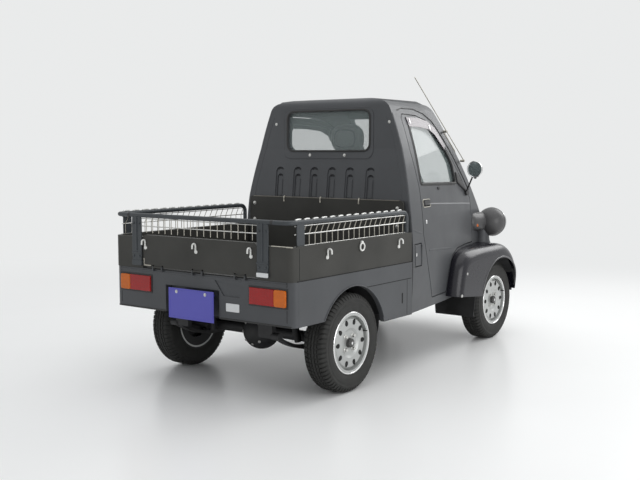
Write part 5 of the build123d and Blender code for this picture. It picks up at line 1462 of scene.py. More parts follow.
@dataclass
class BedFittings:
    """Rack, mesh and ties, rope hooks, floor ribs, edge strips and the headboard's clips."""

    nodes: dict[str, Piece]
    rear_x: float = -1.38
    front_x: float = -0.243
    rack_half: float = 0.622
    rack_z: float = 0.95
    rack_front: float = -0.273
    pipe: float = 0.0125
    bend: float = 0.040
    post_y: float = 0.4555
    wire: float = 0.0022
    middle_wire: float = 0.891
    wire_pitch: float = 0.0502
    bed_half: float = 0.643
    bed_top: float = 0.83
    shoulder: float = 0.656
    floor_ribs: int = 9
    gate_hooks: tuple[float, ...] = (-0.376, 0.008, 0.392)
    side_hooks: tuple[float, ...] = (-1.092, -0.392)
    clip_places: tuple[float, ...] = (0.303, 0.015, -0.275)

    def build(self) -> None:
        """Dress the bed and the rack."""
        self.frame()
        self.mesh()
        self.ties()
        self.posts()
        self.floor()
        self.edges()
        self.headboard()
        self.hooks()

    def frame(self) -> None:
        """The bent pipe round the bed, flat rear posts and flat side stays, which stand for the plain frame.

        The pipe is straight runs joined by quarter circles, level round the bed and down at both front ends.
        """
        y, z, bend = self.rack_half, self.rack_z, self.bend
        front, rear = self.rack_front, self.rear_x
        turn = np.linspace(0, math.pi / 2, 9)
        right = np.stack([rear + bend - bend * np.sin(turn), -y + bend - bend * np.cos(turn)], axis=1)
        plan = np.vstack([[(front - bend, -y)], right, right[::-1] * (1, -1), [(front - bend, y)]])
        level = tube(np.column_stack([plan, np.full(len(plan), z)]), self.pipe, 18)
        down = np.stack([front - bend + bend * np.sin(turn), np.full(9, y), z - bend + bend * np.cos(turn)],
                        axis=1)
        end = tube(np.vstack([down, [(front, y, self.bed_top)]]), self.pipe, 18)
        post = block((rear - 0.004, self.post_y, 0.820), (0.004, 0.037, 0.130))
        ridge = block((rear - 0.0095, self.post_y, 0.850), (0.0025, 0.0045, 0.098))
        stay = block((y + 0.007, -1.2975, 0.888), (0.0035, 0.031, 0.060))
        stay = Patch(stay.points[:, [1, 0, 2]], stay.faces).outward()
        pieces = [level]
        for piece in (end, post, ridge, stay):
            pieces += [piece, piece.mirrored()]
        frame = add(pieces, "rack_pipe_and_posts", Finish.RACK)
        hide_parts("rack_frame")

    def mesh(self) -> None:
        """Welded wires under the pipe, which stand for the plain mesh.

        The uprights rise straight to the middle wire and lean forward over it, each as a round tube.
        """
        y, top, middle = self.rack_half, self.rack_z - self.pipe - 0.001, self.middle_wire
        uprights, level = [], []
        for x in np.arange(-1.318, -0.30, self.wire_pitch):
            lean = min(x + 0.026, self.rack_front)
            bent = (0.5 * (x + lean), y, 0.5 * (middle + top))
            path = [(x, y, self.bed_top - 0.001), (x, y, middle), bent, (lean, y, top)]
            wire = tube(path, self.wire, 6)
            uprights += [wire, wire.mirrored()]
        upper = [(middle, 0.0030), (top - 0.004, 0.0024)]
        for z, radius in [(self.bed_top + 0.0026, 0.0024), *upper]:
            ends = [(self.rear_x + self.bend, y + 0.0035, z), (self.rack_front, y + 0.0035, z)]
            wire = tube(stepped(ends, 0.2), radius, 6)
            level += [wire, wire.mirrored()]
        rear = self.rear_x - 0.002
        level += [tube(stepped([(rear, -0.4225, z), (rear, 0.4225, z)], 0.2), radius, 6)
                  for z, radius in upper]
        uprights += [tube([(rear + 0.0035, across, z) for z in (0.854, 0.9, top)], self.wire, 6)
                     for across in np.linspace(-0.384, 0.384, 17)]
        for patches, name, finish in (
            (uprights, "mesh_uprights", Finish.WIRE),
            (level, "mesh_level_wires", Finish.NUT),
        ):
            piece = add(patches, name, finish, slot="wire_steel")
            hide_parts("rack_mesh")

    def ties(self) -> None:
        """Short pale ties along the crown of the side pipes, each a slim rod laid a little askew."""
        crown = self.rack_z + self.pipe + 0.0012
        rods = []
        for x in np.arange(-1.335, -0.36, 0.0735):
            for side in SIDES:
                y = side * self.rack_half
                path = [(x, y - 0.004, crown), (x + 0.025, y, crown + 0.0022),
                        (x + 0.051, y + 0.004, crown + 0.0005)]
                rods.append(tube(path, 0.0042, 8))
        add(rods, "rack_ties", Finish.HOOK)

    def posts(self) -> None:
        """Sockets, bolts and the pale patch of the rear posts, and the caps on the rear pipe."""
        x, y = self.rear_x, self.post_y
        sockets = []
        for side in SIDES:
            sockets.append(block((x - 0.0045, side * y, 0.6845), (0.0062, 0.038, 0.0155)))
            sockets.append(block((x - 0.0045, side * y, 0.742), (0.0066, 0.0385, 0.004)))
        add(sockets, "post_sockets", Finish.RACK)
        patch = block((x - 0.0112, -0.4575, 0.6830), (0.0012, 0.0380, 0.0115))
        add(patch, "post_reflector", Finish.PALE)
        places = [(x - 0.008, side * (y + step), z)
                  for side in SIDES for step in (-0.022, 0.022) for z in (0.722, 0.905)]
        screws = [bolt(place, -AHEAD, 0.0055, 0.0045) for place in places]
        add(screws, "post_bolts", Finish.RACK)
        cap = [(self.pipe + 0.001, -0.004), (self.pipe + 0.001, 0.010), (self.pipe - 0.003, 0.0145),
               (0.002, 0.016)]
        ends = [turned(cap, (x, side * 0.512, self.rack_z), side * ACROSS, 20) for side in SIDES]
        add(ends, "rack_end_caps", Finish.PLASTIC)

    def floor(self) -> None:
        """Pressed ribs along the bed floor."""
        ribs = [flat_bead([(-1.30, y, self.shoulder), (-0.30, y, self.shoulder)], 0.05, UP, 0.034, 0.005)
                for y in np.linspace(-0.5, 0.5, self.floor_ribs)]
        add(ribs, "bed_floor_ribs", Finish.BED)

    def edges(self) -> None:
        """The walls' top flanges, dark lines under the bed and at its corners, a painted highlight strip on
        the rear corner, and a bright gate strip.
        """
        top, low = self.bed_top, self.shoulder + 0.001
        flanges, lines = [], []
        for side in SIDES:
            y, wall = side * 0.628, side * 0.6445
            flanges.append(flat_bead([(-1.335, y, top), (-0.30, y, top)], 0.05, UP, 0.024, 0.0035))
            ends = [(-1.345, wall, low), (-0.236, wall, low)]
            lines.append(flat_bead(ends, 0.05, side * ACROSS, 0.006, 0.002))
        lines.append(flat_bead([(-1.3755, -0.60, low), (-1.3755, 0.60, low)], 0.05, -AHEAD, 0.006, 0.002))
        add(flanges, "bed_top_flanges", Finish.BED)
        add(lines, "bed_gap_lines", Finish.GAP, slot="bed_dark")
        # A bright strip on the bed's rear right corner standing for a highlight there: a painted highlight.
        strip = flat_bead([(-1.374, -0.636, top), (-1.374, -0.505, top)], 0.02, UP, 0.012, 0.004)
        add(strip, "corner_painted_highlight", Finish.WIRE)
        corner = [(0.406, 0.712), (0.406, 0.674), (0.352, 0.674)]
        trim = Skin(self.nodes["tailgate"]).strip(corner, Look.REAR, 0.007, 0.0022, step=0.008)
        add(trim, "tailgate_bright_strip", Finish.WIRE, "rear_gate")
        walls = Skin(self.nodes["bed_walls"])
        for side in SIDES:
            seam = walls.strip([(-1.325, z) for z in (0.664, 0.80, 0.822)], Look.flank(side), 0.004, 0.0007)
            add(seam, f"bed_corner_seam_{hand(side)}", Finish.GAP, slot="bed_dark")

    def headboard(self) -> None:
        """Clips over the headboard, its top edge with a painted highlight and the bright bolts at its ends."""
        x = self.front_x - 0.007
        clip = ((-0.010, 0.985), (-0.010, 1.013), (-0.004, 1.0185), (0.004, 1.0185), (0.0095, 1.013))
        clips = [tube([(x + out, y, z) for out, z in clip], 0.004, 8) for y in self.clip_places]
        add(clips, "headboard_clips", Finish.WIRE, slot="hook_white")
        # The top edge is a real flange bead; its lighter colour is a painted highlight.
        edge = flat_bead([(x, -0.560, 1.013), (x, 0.560, 1.013)], 0.04, UP, 0.0155, 0.0035)
        add(edge, "headboard_edge", Finish.BOARD_HIGHLIGHT)
        ends = [bolt((x - 0.0075, side * 0.55, z), -AHEAD, 0.008, 0.008)
                for side in SIDES for z in (0.862, 0.968)]
        add(ends, "headboard_bolts", Finish.NUT, slot="wire_steel")

    def hooks(self) -> None:
        """Rope hooks on the gate and the walls and a ring on each side, which stand for the plain ones."""
        gate = [self.hook(np.array([self.rear_x, y, 0.8155]), -AHEAD) for y in self.gate_hooks]
        piece = add(gate, "gate_rope_hooks", Finish.HOOK, "rear_gate")
        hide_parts("tailgate_hooks")
        stud = [(0.009, -0.001), (0.009, 0.008), (0.006, 0.011), (0.001, 0.0115)]
        sides = []
        for side in SIDES:
            wall, out = side * self.bed_half, side * ACROSS
            sides += [self.hook(np.array([x, wall, 0.8035]), out) for x in self.side_hooks]
            x, z = ring_path((-0.775, 0.789), 0.0205, 32).T
            ring = np.stack([x, np.full(32, side * (self.bed_half + 0.0065)), z], axis=1)
            sides.append(tube(ring, 0.0046, 10, closed=True))
            sides.append(turned(stud, (-0.775, wall, 0.8125), out, 18))
        piece = add(sides, "side_rope_hooks", Finish.HOOK)
        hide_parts("side_hooks")

    @staticmethod
    def hook(crown: Array, out: Array) -> Patch:
        """A bent rod: a leg on the wall, half a circle outwards and a short tip down, with a round foot.

        Args:
            crown: The point on the wall level with the top of the hook.
            out: The way out of the wall.

        Returns:
            The rod and its foot.
        """
        turn = np.linspace(math.pi, 0.0, 10)
        reach = np.concatenate([[0.0045, 0.0045], 0.0170 + 0.0125 * np.cos(turn), [0.0300]])
        rise = np.concatenate([[-0.052, -0.026], -0.0125 + 0.0125 * np.sin(turn), [-0.0270]])
        rod = tube(crown + reach[:, None] * out + rise[:, None] * UP, 0.0047, 10)
        foot = [(0.0105, -0.001), (0.0105, 0.003), (0.008, 0.006), (0.001, 0.0075)]
        return Patch.join([rod, turned(foot, crown - 0.0445 * UP, out, 20)])


# Lower body


@dataclass
class LowerBody:
    """Rear panel's blank badge, plate fittings and seams, side covers, slots and the lid's lock.

    Outlines on a side are (x, z), and those on the rear are (y, z).
    """

    nodes: dict[str, Piece]
    rear_seam_y: float = 0.600
    rear_seams: Profile = ((0.450, 0.512), (0.628, 0.652))
    lip_z: float = 0.4305
    lips: Profile = ((-0.625, -0.155), (0.255, 0.625))
    swage_z: float = 0.641
    swages: Profile = ((-0.60, -0.34), (-0.30, 0.60))
    division_y: float = 0.521
    cover_top: Outline = ((-0.733, 0.562), (-0.50, 0.562), (-0.240, 0.562))
    cover_seam: Outline = ((-0.300, 0.350), (-0.300, 0.558))
    low_edge: Outline = ((-0.50, 0.3505), (-0.242, 0.3505))
    arch: float = 0.3145
    key: Profile = ((0.0095, -0.001), (0.0095, 0.002), (0.0080, 0.0030), (0.0025, 0.0030), (0.0022, 0.0015),
                    (0.0005, 0.0015))

    def build(self) -> None:
        """Dress the skirts and the rear panel."""
        skirt = Skin(self.nodes["lower_body"])
        self.rear(skirt)
        for side in SIDES:
            self.flank(skirt, side)
        self.lid()
        self.plate()

    def rear(self, skirt: Skin) -> None:
        """The blank badge, the corner seams, the lower lip and the top swage of the rear panel.

        Args:
            skirt: The lower body.
        """
        badge = skirt.plate(rectangle((-0.241, 0.4935), (0.092, 0.043), 0.005), Look.REAR, 0.0035, edge=0.002)
        add(badge, "blank_badge", Finish.PALE)
        edge = skirt.strip([(-0.1945, 0.473), (-0.1945, 0.514)], Look.REAR, 0.005, 0.0042, step=0.008)
        add(edge, "blank_badge_edge", Finish.GAP)
        seams = [skirt.strip([(side * self.rear_seam_y, z) for z in run], Look.REAR, 0.0035, 0.0006,
                             step=0.01) for side in SIDES for run in self.rear_seams]
        add(seams, "rear_corner_seams", Finish.GAP, slot="body_grey")
        lips = [skirt.strip([(y, self.lip_z) for y in run], Look.REAR, 0.009, 0.0035) for run in self.lips]
        add(lips, "rear_lower_lip", Finish.RUBBER)
        swages = [skirt.strip([(y, self.swage_z) for y in run], Look.REAR, 0.010, 0.002)
                  for run in self.swages]
        add(swages, "rear_top_swage", Finish.BODY)
        lamps = Skin(*(self.nodes[name] for name in ("tail_lamp_frames", "tail_lenses_red", "amber_lenses")))
        lines = [lamps.strip([(side * self.division_y, z) for z in (0.530, 0.611)], Look.REAR, 0.0035,
                             0.0012, step=0.01) for side in SIDES]
        add(lines, "lamp_division_lines", Finish.GAP)

    def flank(self, skirt: Skin, side: float) -> None:
        """Cover line, slot and seam, the rolled edge of the rear arch and the low edge on one side.

        Args:
            skirt: The lower body.
            side: -1 for right and +1 for left.
        """
        name = hand(side)
        look = Look.flank(side)
        line = skirt.strip(self.cover_top, look, 0.0045, 0.0007)
        add(line, f"cover_line_{name}", Finish.GAP, slot="body_grey")
        slot = skirt.plate(rectangle((-0.353, 0.455), (0.012, 0.062), 0.005), look, 0.0008, edge=0.0005)
        add(slot, f"cover_slot_{name}", Finish.GAP)
        seam = skirt.strip(self.cover_seam, look, 0.0035, 0.0006)
        add(seam, f"cover_seam_{name}", Finish.GAP, slot="body_grey")
        arch = ring_arc((REAR_AXLE_X, AXLE_Z), self.arch, np.radians(np.linspace(19, 149, 48)))
        lip = bead(*skirt.lay(arch, look), 0.0065, 0.0045)
        add(lip, f"rear_arch_lip_{name}", Finish.BODY)
        edge = skirt.strip(self.low_edge, look, 0.010, 0.002)
        add(edge, f"skirt_low_edge_{name}", Finish.BODY)

    def lid(self) -> None:
        """The filler lid's key cylinder and its rolled edge."""
        skin = Skin(self.nodes["fuel_lid"])
        key = heads(self.key, skin.lay([(-0.176, 0.690)], Look.RIGHT), 24)
        add(key[0], "filler_key", Finish.CHROME, "filler_lid")
        outline = rectangle((-0.148, 0.687), (0.088, 0.118), 0.008)
        edge = skin.strip(outline, Look.RIGHT, 0.004, 0.0012, closed=True)
        add(edge, "filler_lid_edge", Finish.BODY, "filler_lid")

    def plate(self) -> None:
        """The blank plate's pressed edge and its two bolts."""
        skin = Skin(self.nodes["number_plate"])
        outline = rectangle((0.038, 0.4855), (0.314, 0.149), 0.010)
        edge = skin.strip(outline, Look.REAR, 0.0045, 0.0014, closed=True)
        add(edge, "plate_pressed_edge", Finish.PLATE)
        places = skin.lay([(-0.067, 0.549), (0.143, 0.549)], Look.REAR)
        add(bolts(places, 0.0062, 0.005), "plate_bolts", Finish.NUT)


# Seat and interior


@dataclass
class Cushion:
    """One padded piece: a block with rounded sides that is blown up a little and keeps its sewn shape."""

    name: str
    middle: Triple
    half: Triple
    lean: float = 0.0
    power: float = 0.28
    voxel: float = 0.007
    swell: float = 0.012
    pressure: float = 4.0
    frames: int = 20

    def patch(self, rows: int = 40, columns: int = 64) -> Patch:
        """A superellipsoid: each axis is half size times the signed power of the sphere's own, then leant.

        Args:
            rows: Points from the lower pole to the upper.
            columns: Points round it.

        Returns:
            The closed block.
        """
        u = np.linspace(-math.pi / 2 + 0.02, math.pi / 2 - 0.02, rows)[:, None]
        v = np.linspace(0, 2 * math.pi, columns, endpoint=False)[None, :]
        unit = np.stack([np.cos(u) * np.cos(v), np.cos(u) * np.sin(v), np.sin(u) + 0 * v], axis=-1)
        shape = np.sign(unit) * np.abs(unit) ** self.power * np.asarray(self.half)
        shape[..., :2] *= 1 - 0.05 * (shape[..., 2:3] / self.half[2]) ** 2
        cos, sin = math.cos(self.lean), math.sin(self.lean)
        x, y, z = np.moveaxis(shape, -1, 0)
        leant = np.stack([cos * x - sin * z, y, sin * x + cos * z], axis=-1)
        patch = Patch.grid(leant + np.asarray(self.middle), wrap_v=True)
        patch.cap(rows, columns)
        return patch.outward()

    def build(self) -> Piece:
        """Remesh the block, blow it up as cloth with a cap on the movement, and smooth it.

        Returns:
            The padded piece.
        """
        piece = self.patch().to_object(self.name)
        modifier = piece.modifiers.new("remesh", "REMESH")
        modifier.mode, modifier.voxel_size = "VOXEL", self.voxel
        self.apply(piece)
        self.blow(piece)
        modifier = piece.modifiers.new("smooth", "SMOOTH")
        modifier.factor, modifier.iterations = 0.5, 3
        modifier = piece.modifiers.new("rounding", "SUBSURF")
        modifier.levels = modifier.render_levels = 1
        self.apply(piece)
        piece.data.polygons.foreach_set("use_smooth", [True] * len(piece.data.polygons))
        dress(piece, Finish.SEAT)
        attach(piece, TRUCK)
        LOG.info("%s: %d faces, padded", self.name, len(piece.data.polygons))
        return piece

    def blow(self, piece: Piece) -> None:
        """Run the cloth for some frames and keep each point within the swell of its start.

        Args:
            piece: The remeshed block.
        """
        start = self.places(piece)
        modifier = piece.modifiers.new("cloth", "CLOTH")
        settings = modifier.settings
        settings.use_pressure, settings.uniform_pressure_force = True, self.pressure
        settings.effector_weights.gravity = 0.0
        settings.quality = 5
        modifier.point_cache.frame_start, modifier.point_cache.frame_end = 1, self.frames
        scene = bpy.context.scene
        for frame in range(1, self.frames + 1):
            scene.frame_set(frame)
        self.apply(piece)
        scene.frame_set(1)
        move = self.places(piece) - start
        length = np.linalg.norm(move, axis=1, keepdims=True)
        move = move * np.minimum(1.0, self.swell / np.maximum(length, 1e-9))
        piece.data.vertices.foreach_set("co", (start + move).ravel())
        piece.data.update()

    @staticmethod
    def places(piece: Piece) -> Array:
        """Where every vertex of a piece is.

        Args:
            piece: The piece.

        Returns:
            Array of shape (n, 3).
        """
        found = np.empty(len(piece.data.vertices) * 3)
        piece.data.vertices.foreach_get("co", found)
        return found.reshape(-1, 3)

    @staticmethod
    def apply(piece: Piece) -> None:
        """Bake every modifier on the piece into its mesh.

        Args:
            piece: The piece.
        """
        graph = bpy.context.evaluated_depsgraph_get()
        mesh = bpy.data.meshes.new_from_object(piece.evaluated_get(graph))
        piece.modifiers.clear()
        piece.data = mesh


@dataclass
class Interior:
    """The seat, the wheel's horn pad and grips, stalks, instruments, pedals, levers and the floor mat.

    Boards and panels are drawn as (y, z) on the dashboard, and profiles are (radius, height).
    """

    nodes: dict[str, Piece]
    seat_half: float = 0.235
    wheel_centre: Triple = (0.495, 0.0, 0.990)
    wheel_radius: float = 0.172
    wheel_rake: float = 24.0
    dash_start: float = -0.45
    pedal_places: tuple[float, ...] = (-0.09, 0.01, 0.10)
    horn_pad: Profile = ((0.044, -0.010), (0.044, 0.018), (0.038, 0.026), (0.020, 0.030), (0.002, 0.031))
    dial: Profile = ((0.046, -0.001), (0.046, 0.002), (0.040, 0.0025), (0.002, 0.0025))
    dial_rim: Profile = ((0.046, 0.0), (0.046, 0.006), (0.049, 0.008), (0.052, 0.006), (0.052, 0.0))
    knob: Profile = ((0.006, -0.012), (0.018, -0.006), (0.024, 0.010), (0.020, 0.026), (0.004, 0.032))
    boot: Profile = ((0.050, 0.0), (0.046, 0.012), (0.040, 0.014), (0.036, 0.030), (0.028, 0.034),
                     (0.024, 0.052), (0.012, 0.062))

    def build(self) -> None:
        """Make the seat and what stands round it."""
        self.seat()
        self.steering()
        self.dash()
        self.controls()

    def seat(self) -> None:
        """Padded cushion, back and head rest, with piping, the rest's stems and the runners."""
        h = self.seat_half
        cushion = Cushion("seat_cushion", (0.300, 0, 0.668), (0.205, h - 0.012, 0.058)).build()
        back = Cushion("seat_back", (0.080, 0, 0.925), (0.047, h - 0.014, 0.320), lean=0.098,
                       voxel=0.008).build()
        rest = Cushion("head_rest", (0.0420, 0.016, 1.387), (0.034, 0.124, 0.092), lean=0.05, power=0.68,
                       voxel=0.005, swell=0.006).build()
        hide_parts("seat")
        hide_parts("seat")
        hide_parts("seat")
        back_line = rectangle((0, 0.930), (0.385, 0.560), 0.07, 8)
        for pad, name, look, outline in (
            (cushion, "cushion_piping", Look.TOP, rectangle((0.300, 0), (0.345, 0.385), 0.06, 8)),
            (back, "back_piping", Look.FRONT, back_line),
            (rest, "rest_piping", Look.REAR, rectangle((0.016, 1.387), (0.160, 0.108), 0.052, 8)),
            (back, "back_rear_piping", Look.REAR, back_line),
        ):
            add(Skin(pad).strip(outline, look, 0.009, 0.0035, closed=True), name, Finish.PIPING)
        stems = [tube([(0.052, y, 1.200), (0.045, y, 1.270), (0.041, y, 1.340)], 0.0055, 12)
                 for y in (-0.05, 0.05)]
        add(stems, "head_rest_stems", Finish.CHROME, slot="seat_fabric")
        rails = [tube([(x, y, 0.6085) for x in (0.10, 0.30, 0.50)], 0.0085, 8) for y in (-0.17, 0.17)]
        knuckle = [(0.030, -0.006), (0.034, -0.003), (0.034, 0.003), (0.030, 0.006)]
        rails += [turned(knuckle, (0.128, side * (h + 0.001), 0.640), ACROSS, 28) for side in SIDES]
        add(rails, "seat_runners", Finish.CHASSIS)

    def steering(self) -> None:
        """A domed horn pad and thumb grips on the steering wheel, and two stalks behind it.

        A grip is a tube along an arc of the wheel's own circle.
        """
        rake = math.radians(self.wheel_rake)
        axis = np.array([math.cos(rake), 0.0, -math.sin(rake)])
        centre = np.array(self.wheel_centre)
        pad = turned(self.horn_pad, centre, -axis, 40)
        add(pad, "horn_pad", Finish.PLASTIC, "driver_wheel")
        up = np.cross(axis, ACROSS)
        grips = []
        for turn in (25, 155):
            a = np.radians(np.linspace(turn - 14, turn + 14, 10))[:, None]
            grips.append(tube(centre + self.wheel_radius * (np.cos(a) * ACROSS - np.sin(a) * up), 0.0135, 12))
        add(grips, "wheel_grips", Finish.RUBBER, "driver_wheel")
        start = centre + axis * 0.060
        radii = np.array([0.006, 0.0055, 0.0085])
        stalks = [tube(start + np.array([(0, 0, 0), (0.0, side * 0.07, 0.01), (-0.01, side * 0.145, 0.02)]),
                       radii, 10) for side in SIDES]
        add(stalks, "column_stalks", Finish.PLASTIC)

    def dash(self) -> None:
        """Dial faces with rims, air vents, a shelf lip, a blank panel and a mat on the dashboard."""
        board, within, far = Skin(self.nodes["dashboard"]), Look.REAR, self.dash_start
        dials, rims = [], []
        for y in (-0.075, 0.075):
            points, normals = board.lay([(y, 0.995)], within, far=far)
            dials.append(turned(self.dial, points[0], normals[0], 36))
            rims.append(turned(self.dial_rim, points[0], normals[0], 36, ring=True))
        add(dials, "dial_faces", Finish.PALE)
        add(rims, "dial_rims", Finish.CHROME)
        vents = [board.strip([(y - 0.045, z), (y + 0.045, z)], within, 0.007, 0.005, far=far)
                 for y in (-0.40, 0.40) for z in (0.915, 0.928, 0.941)]
        add(vents, "dash_vents", Finish.GAP)
        lip = board.strip([(-0.46, 0.868), (0.46, 0.868)], within, 0.014, 0.008, far=far)
        add(lip, "dash_shelf_lip", Finish.RUBBER)
        panel = board.plate(rectangle((0.26, 0.905), (0.17, 0.052), 0.006), within, 0.006, far=far)
        add(panel, "blank_radio_panel", Finish.TRIM)
        mat = board.plate(rectangle((0.78, 0), (0.16, 0.46), 0.04), Look.TOP, 0.004)
        add(mat, "dash_top_mat", Finish.RUBBER)

    def controls(self) -> None:
        """Pedals, gear lever with a boot, hand brake and floor mat."""
        pad = [(0.026, -0.004), (0.030, 0.0), (0.030, 0.006), (0.026, 0.009)]
        pedals = []
        for y in self.pedal_places:
            pedals.append(tube([(0.86, y, 0.74), (0.80, y, 0.62), (0.755, y, 0.52)], 0.0075, 8))
            pedals.append(turned(pad, (0.752, y, 0.515), (-0.8, 0, 0.6), 4))
        add(pedals, "pedals", Finish.RUBBER)
        top = (0.570, -0.205, 0.700)
        lever = tube([(0.600, -0.215, 0.385), (0.595, -0.215, 0.55), top], 0.0065, 10)
        knob = turned(self.knob, top, (-0.1, 0.03, 1), 24)
        boot = turned(self.boot, (0.600, -0.215, 0.383), UP, 28)
        add([lever, knob, boot], "gear_lever", Finish.PLASTIC)
        grip = [(0.20, -0.285, 0.560), (0.30, -0.285, 0.600), (0.42, -0.285, 0.665)]
        brake = tube(grip, np.array([0.009, 0.009, 0.013]), 12)
        foot = tube([(0.20, -0.285, 0.385), (0.20, -0.285, 0.565)], 0.016, 8)
        add([brake, foot], "hand_brake", Finish.PLASTIC)
        mat = Skin(self.nodes["cab_floor"]).plate(rectangle((0.615, 0), (0.10, 0.80), 0.03), Look.TOP, 0.006)
        add(mat, "floor_mat", Finish.TRIM)


@dataclass
class Underbody:
    """Rear dampers, tank straps and the bolts of the axle's cover."""

    nodes: dict[str, Piece]
    damper_foot: Triple = (-0.915, 0.318, 0.252)
    damper_head: Triple = (-0.985, 0.288, 0.560)
    strap_inset: float = 0.06
    cover_bolts: float = 0.070

    def build(self) -> None:
        """Make what shows from below."""
        dampers = []
        for side in SIDES:
            foot, head = np.array(self.damper_foot) * (1, side, 1), np.array(self.damper_head) * (1, side, 1)
            run = head - foot
            dampers.append(tube([foot, foot + 0.55 * run], 0.021, 16))
            dampers.append(tube([foot + 0.5 * run, head], 0.010, 12))
        add(dampers, "rear_dampers", Finish.CHASSIS)
        unit = ring_path((0, 0), 1.0, 60)
        shape = np.sign(unit) * np.abs(unit) ** 0.25
        low, high = np.asarray(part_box("fuel_tank"))
        loop = 0.5 * (high + low)[1:] + shape * (0.5 * (high - low)[1:] + 0.001)
        bands = [tube(np.column_stack([np.full(60, x), loop]), 0.004, 6, closed=True, flat=3.5)
                 for x in (low[0] + self.strap_inset, high[0] - self.strap_inset)]
        add(bands, "tank_straps", Finish.WIRE)
        places = Skin(self.nodes["rear_axle"]).lay(ring_path((0.0, AXLE_Z), self.cover_bolts, 8), Look.REAR)
        add(bolts(places, 0.006, 0.006), "axle_cover_bolts", Finish.NUT, slot="wire_steel")


# Studio


def combined(tree: bpy.types.NodeTree, operation: str, first: Socket,
             second: Socket) -> Socket:
    """A Math node's result over two values.

    Args:
        tree: The node tree.
        operation: The node's operation.
        first: Its first value.
        second: Its second value.

    Returns:
        The result's socket.
    """
    node = tree.nodes.new("ShaderNodeMath")
    node.operation = operation
    tree.links.new(first, node.inputs[0])
    tree.links.new(second, node.inputs[1])
    return node.outputs["Value"]


def mixed(tree: bpy.types.NodeTree, share: Socket, first: Socket,
          second: Socket) -> Socket:
    """A Mix Shader node's result.

    Args:
        tree: The node tree.
        share: Share of the second shader.
        first: The first shader.
        second: The second shader.

    Returns:
        The result's socket.
    """
    node = tree.nodes.new("ShaderNodeMixShader")
    tree.links.new(share, node.inputs["Fac"])
    tree.links.new(first, node.inputs[1])
    tree.links.new(second, node.inputs[2])
    return node.outputs["Shader"]


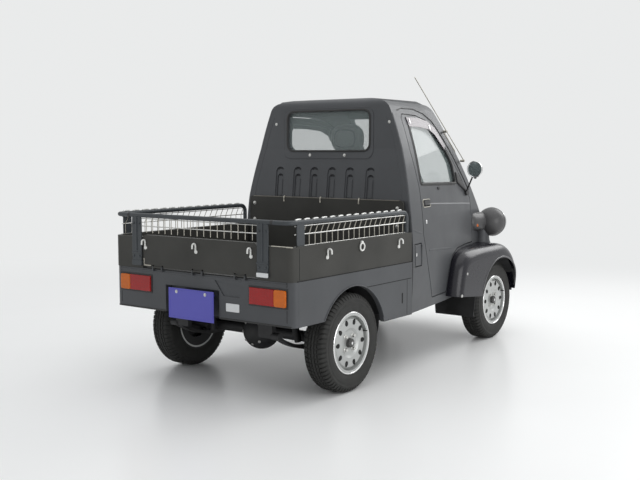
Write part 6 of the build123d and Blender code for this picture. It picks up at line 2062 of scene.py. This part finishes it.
@dataclass
class Studio:
    """Pale floor and backdrop, soft lamps and the camera.

    Each lamp is (name, place, target, size, power).
    """

    lens: float = 52.89
    place: Triple = (-4.9905, -3.4658, 1.2956)
    ahead: Triple = (0.80202, 0.59009, -0.09245)
    floor_colour: Triple = (0.96, 0.96, 0.945)
    backdrop: Triple = (0.82, 0.83, 0.83)
    surround: Triple = (0.95, 0.97, 1.0)
    surround_level: float = 0.66
    room: float = 60.0
    fade: tuple[float, float] = (1.2, 6.5)
    lamps: tuple[tuple[str, tuple[float, ...], tuple[float, ...], float, float], ...] = (
        ("ceiling", (0.4, -0.2, 4.4), (0.2, 0, 0.4), 6.0, 76.0),
        ("right_softbox", (-1.2, -5.4, 1.7), (0.2, 0, 0.6), 3.2, 74.0),
        ("front_softbox", (4.8, -1.6, 3.6), (0.5, 0, 0.8), 3.0, 85.0),
    )

    def build(self) -> None:
        """Make the floor, the world, the lamps and the camera."""
        self.floor()
        self.world()
        for lamp in self.lamps:
            self.lamp(*lamp)
        self.camera()

    def floor(self) -> None:
        """A pale floor with a soft gloss, which fades into the backdrop's colour with distance.

        The fade is for the eye and for reflections only. The floor is clear from below.
        """
        half = self.room
        corners = np.array([[[x, y, 0.0] for x in (-half, half)] for y in (-half, half)])
        piece = Patch.grid(corners, flip=True).to_object("studio_floor")
        nodes = Nodes("studio_floor_look")
        base = np.asarray(self.floor_colour)
        nodes.mottle(nodes.noise(0.7, 4.0), base * 0.97, base)
        nodes.put(Roughness=0.28, Specular_IOR_Level=0.35)
        tree = nodes.tree
        length = tree.nodes.new("ShaderNodeVectorMath")
        length.operation = "LENGTH"
        nodes.link(nodes.coords.outputs["Object"], length.inputs[0])
        fade = tree.nodes.new("ShaderNodeMapRange")
        fade.interpolation_type = "SMOOTHSTEP"
        fade.inputs["From Min"].default_value, fade.inputs["From Max"].default_value = self.fade
        nodes.link(length.outputs["Value"], fade.inputs["Value"])
        share = combined(tree, "MULTIPLY", fade.outputs["Result"], self.seen_rays(tree))
        pale = tree.nodes.new("ShaderNodeEmission")
        pale.inputs["Color"].default_value = (*self.backdrop, 1.0)
        upper = mixed(tree, share, nodes.shader.outputs["BSDF"], pale.outputs["Emission"])
        back = tree.nodes.new("ShaderNodeNewGeometry").outputs["Backfacing"]
        clear = tree.nodes.new("ShaderNodeBsdfTransparent").outputs["BSDF"]
        nodes.link(mixed(tree, back, upper, clear), tree.nodes["Material Output"].inputs["Surface"])
        piece.data.materials.append(nodes.material)

    @staticmethod
    def seen_rays(tree: bpy.types.NodeTree) -> Socket:
        """One for a ray from the eye, off gloss or through glass, and nought for a ray that lights.

        Args:
            tree: The node tree.

        Returns:
            The value's socket.
        """
        rays = tree.nodes.new("ShaderNodeLightPath").outputs
        gloss = combined(tree, "MAXIMUM", rays["Is Camera Ray"], rays["Is Glossy Ray"])
        return combined(tree, "MAXIMUM", gloss, rays["Is Transmission Ray"])

    def world(self) -> None:
        """The backdrop's colour to the eye and in reflections, and a plain level of light on the truck."""
        world = bpy.data.worlds.new("surround")
        bpy.context.scene.world = world
        world.use_nodes = True
        tree = world.node_tree
        plain = tree.nodes["Background"]
        seen = tree.nodes.new("ShaderNodeBackground")
        for node, colour, level in ((plain, self.surround, self.surround_level), (seen, self.backdrop, 1.0)):
            node.inputs["Color"].default_value = (*colour, 1.0)
            node.inputs["Strength"].default_value = level
        mix = mixed(tree, self.seen_rays(tree), plain.outputs["Background"], seen.outputs["Background"])
        tree.links.new(mix, tree.nodes["World Output"].inputs["Surface"])

    @staticmethod
    def aim(piece: Piece, place: Numbers, way: Vector) -> None:
        """Put a lamp or a camera at its place, looking along a way, and link it to the scene.

        Args:
            piece: The lamp or the camera.
            place: Where it goes.
            way: The way that it looks.
        """
        piece.location = place
        piece.rotation_mode = "QUATERNION"
        piece.rotation_quaternion = way.to_track_quat("-Z", "Y")
        bpy.context.scene.collection.objects.link(piece)

    def lamp(self, name: str, place: Numbers, target: Numbers, size: float, power: float) -> None:
        """A square soft lamp that looks at a target.

        Args:
            name: The lamp's name.
            place: Where it hangs.
            target: The point that it looks at.
            size: Its side.
            power: Its power in watts.
        """
        light = bpy.data.lights.new(name, "AREA")
        light.shape, light.size, light.energy = "SQUARE", size, power
        self.aim(bpy.data.objects.new(name, light), place, Vector(target) - Vector(place))

    def camera(self) -> None:
        """The camera at the photograph's place and angle."""
        data = bpy.data.cameras.new("camera")
        data.lens, data.sensor_width = self.lens, 36.0
        data.clip_start, data.clip_end = 0.05, 200.0
        camera = bpy.data.objects.new("camera", data)
        self.aim(camera, self.place, Vector(self.ahead))
        bpy.context.scene.camera = camera


def main() -> None:
    """Load the frame, dress every node, add the fittings and set the studio."""
    logging.basicConfig(level=logging.INFO)
    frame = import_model()
    bpy.context.scene.view_settings.view_transform = "Standard"
    Studio().build()
    finishes = {finish.value.name: finish for finish in Finish}
    slots = {row["node"]: row["material_slot"] for row in frame["record"]["subparts"]}
    nodes = frame["nodes"]
    for name, node in nodes.items():
        dress(node, finishes[slots[name]])
    spare = RoadTyre(radius=0.25, half=0.055, bead=0.1505, groove=0.0055, notch=0.007, pitches=60)
    wheels = Wheels(RoadTyre(), spare)
    for assembly in (wheels, CabTrim(nodes), LampsAndWings(nodes), BedFittings(nodes), LowerBody(nodes),
                     Interior(nodes), Underbody(nodes)):
        LOG.info("building %s", type(assembly).__name__)
        assembly.build()


if __name__ == "__main__":
    main()
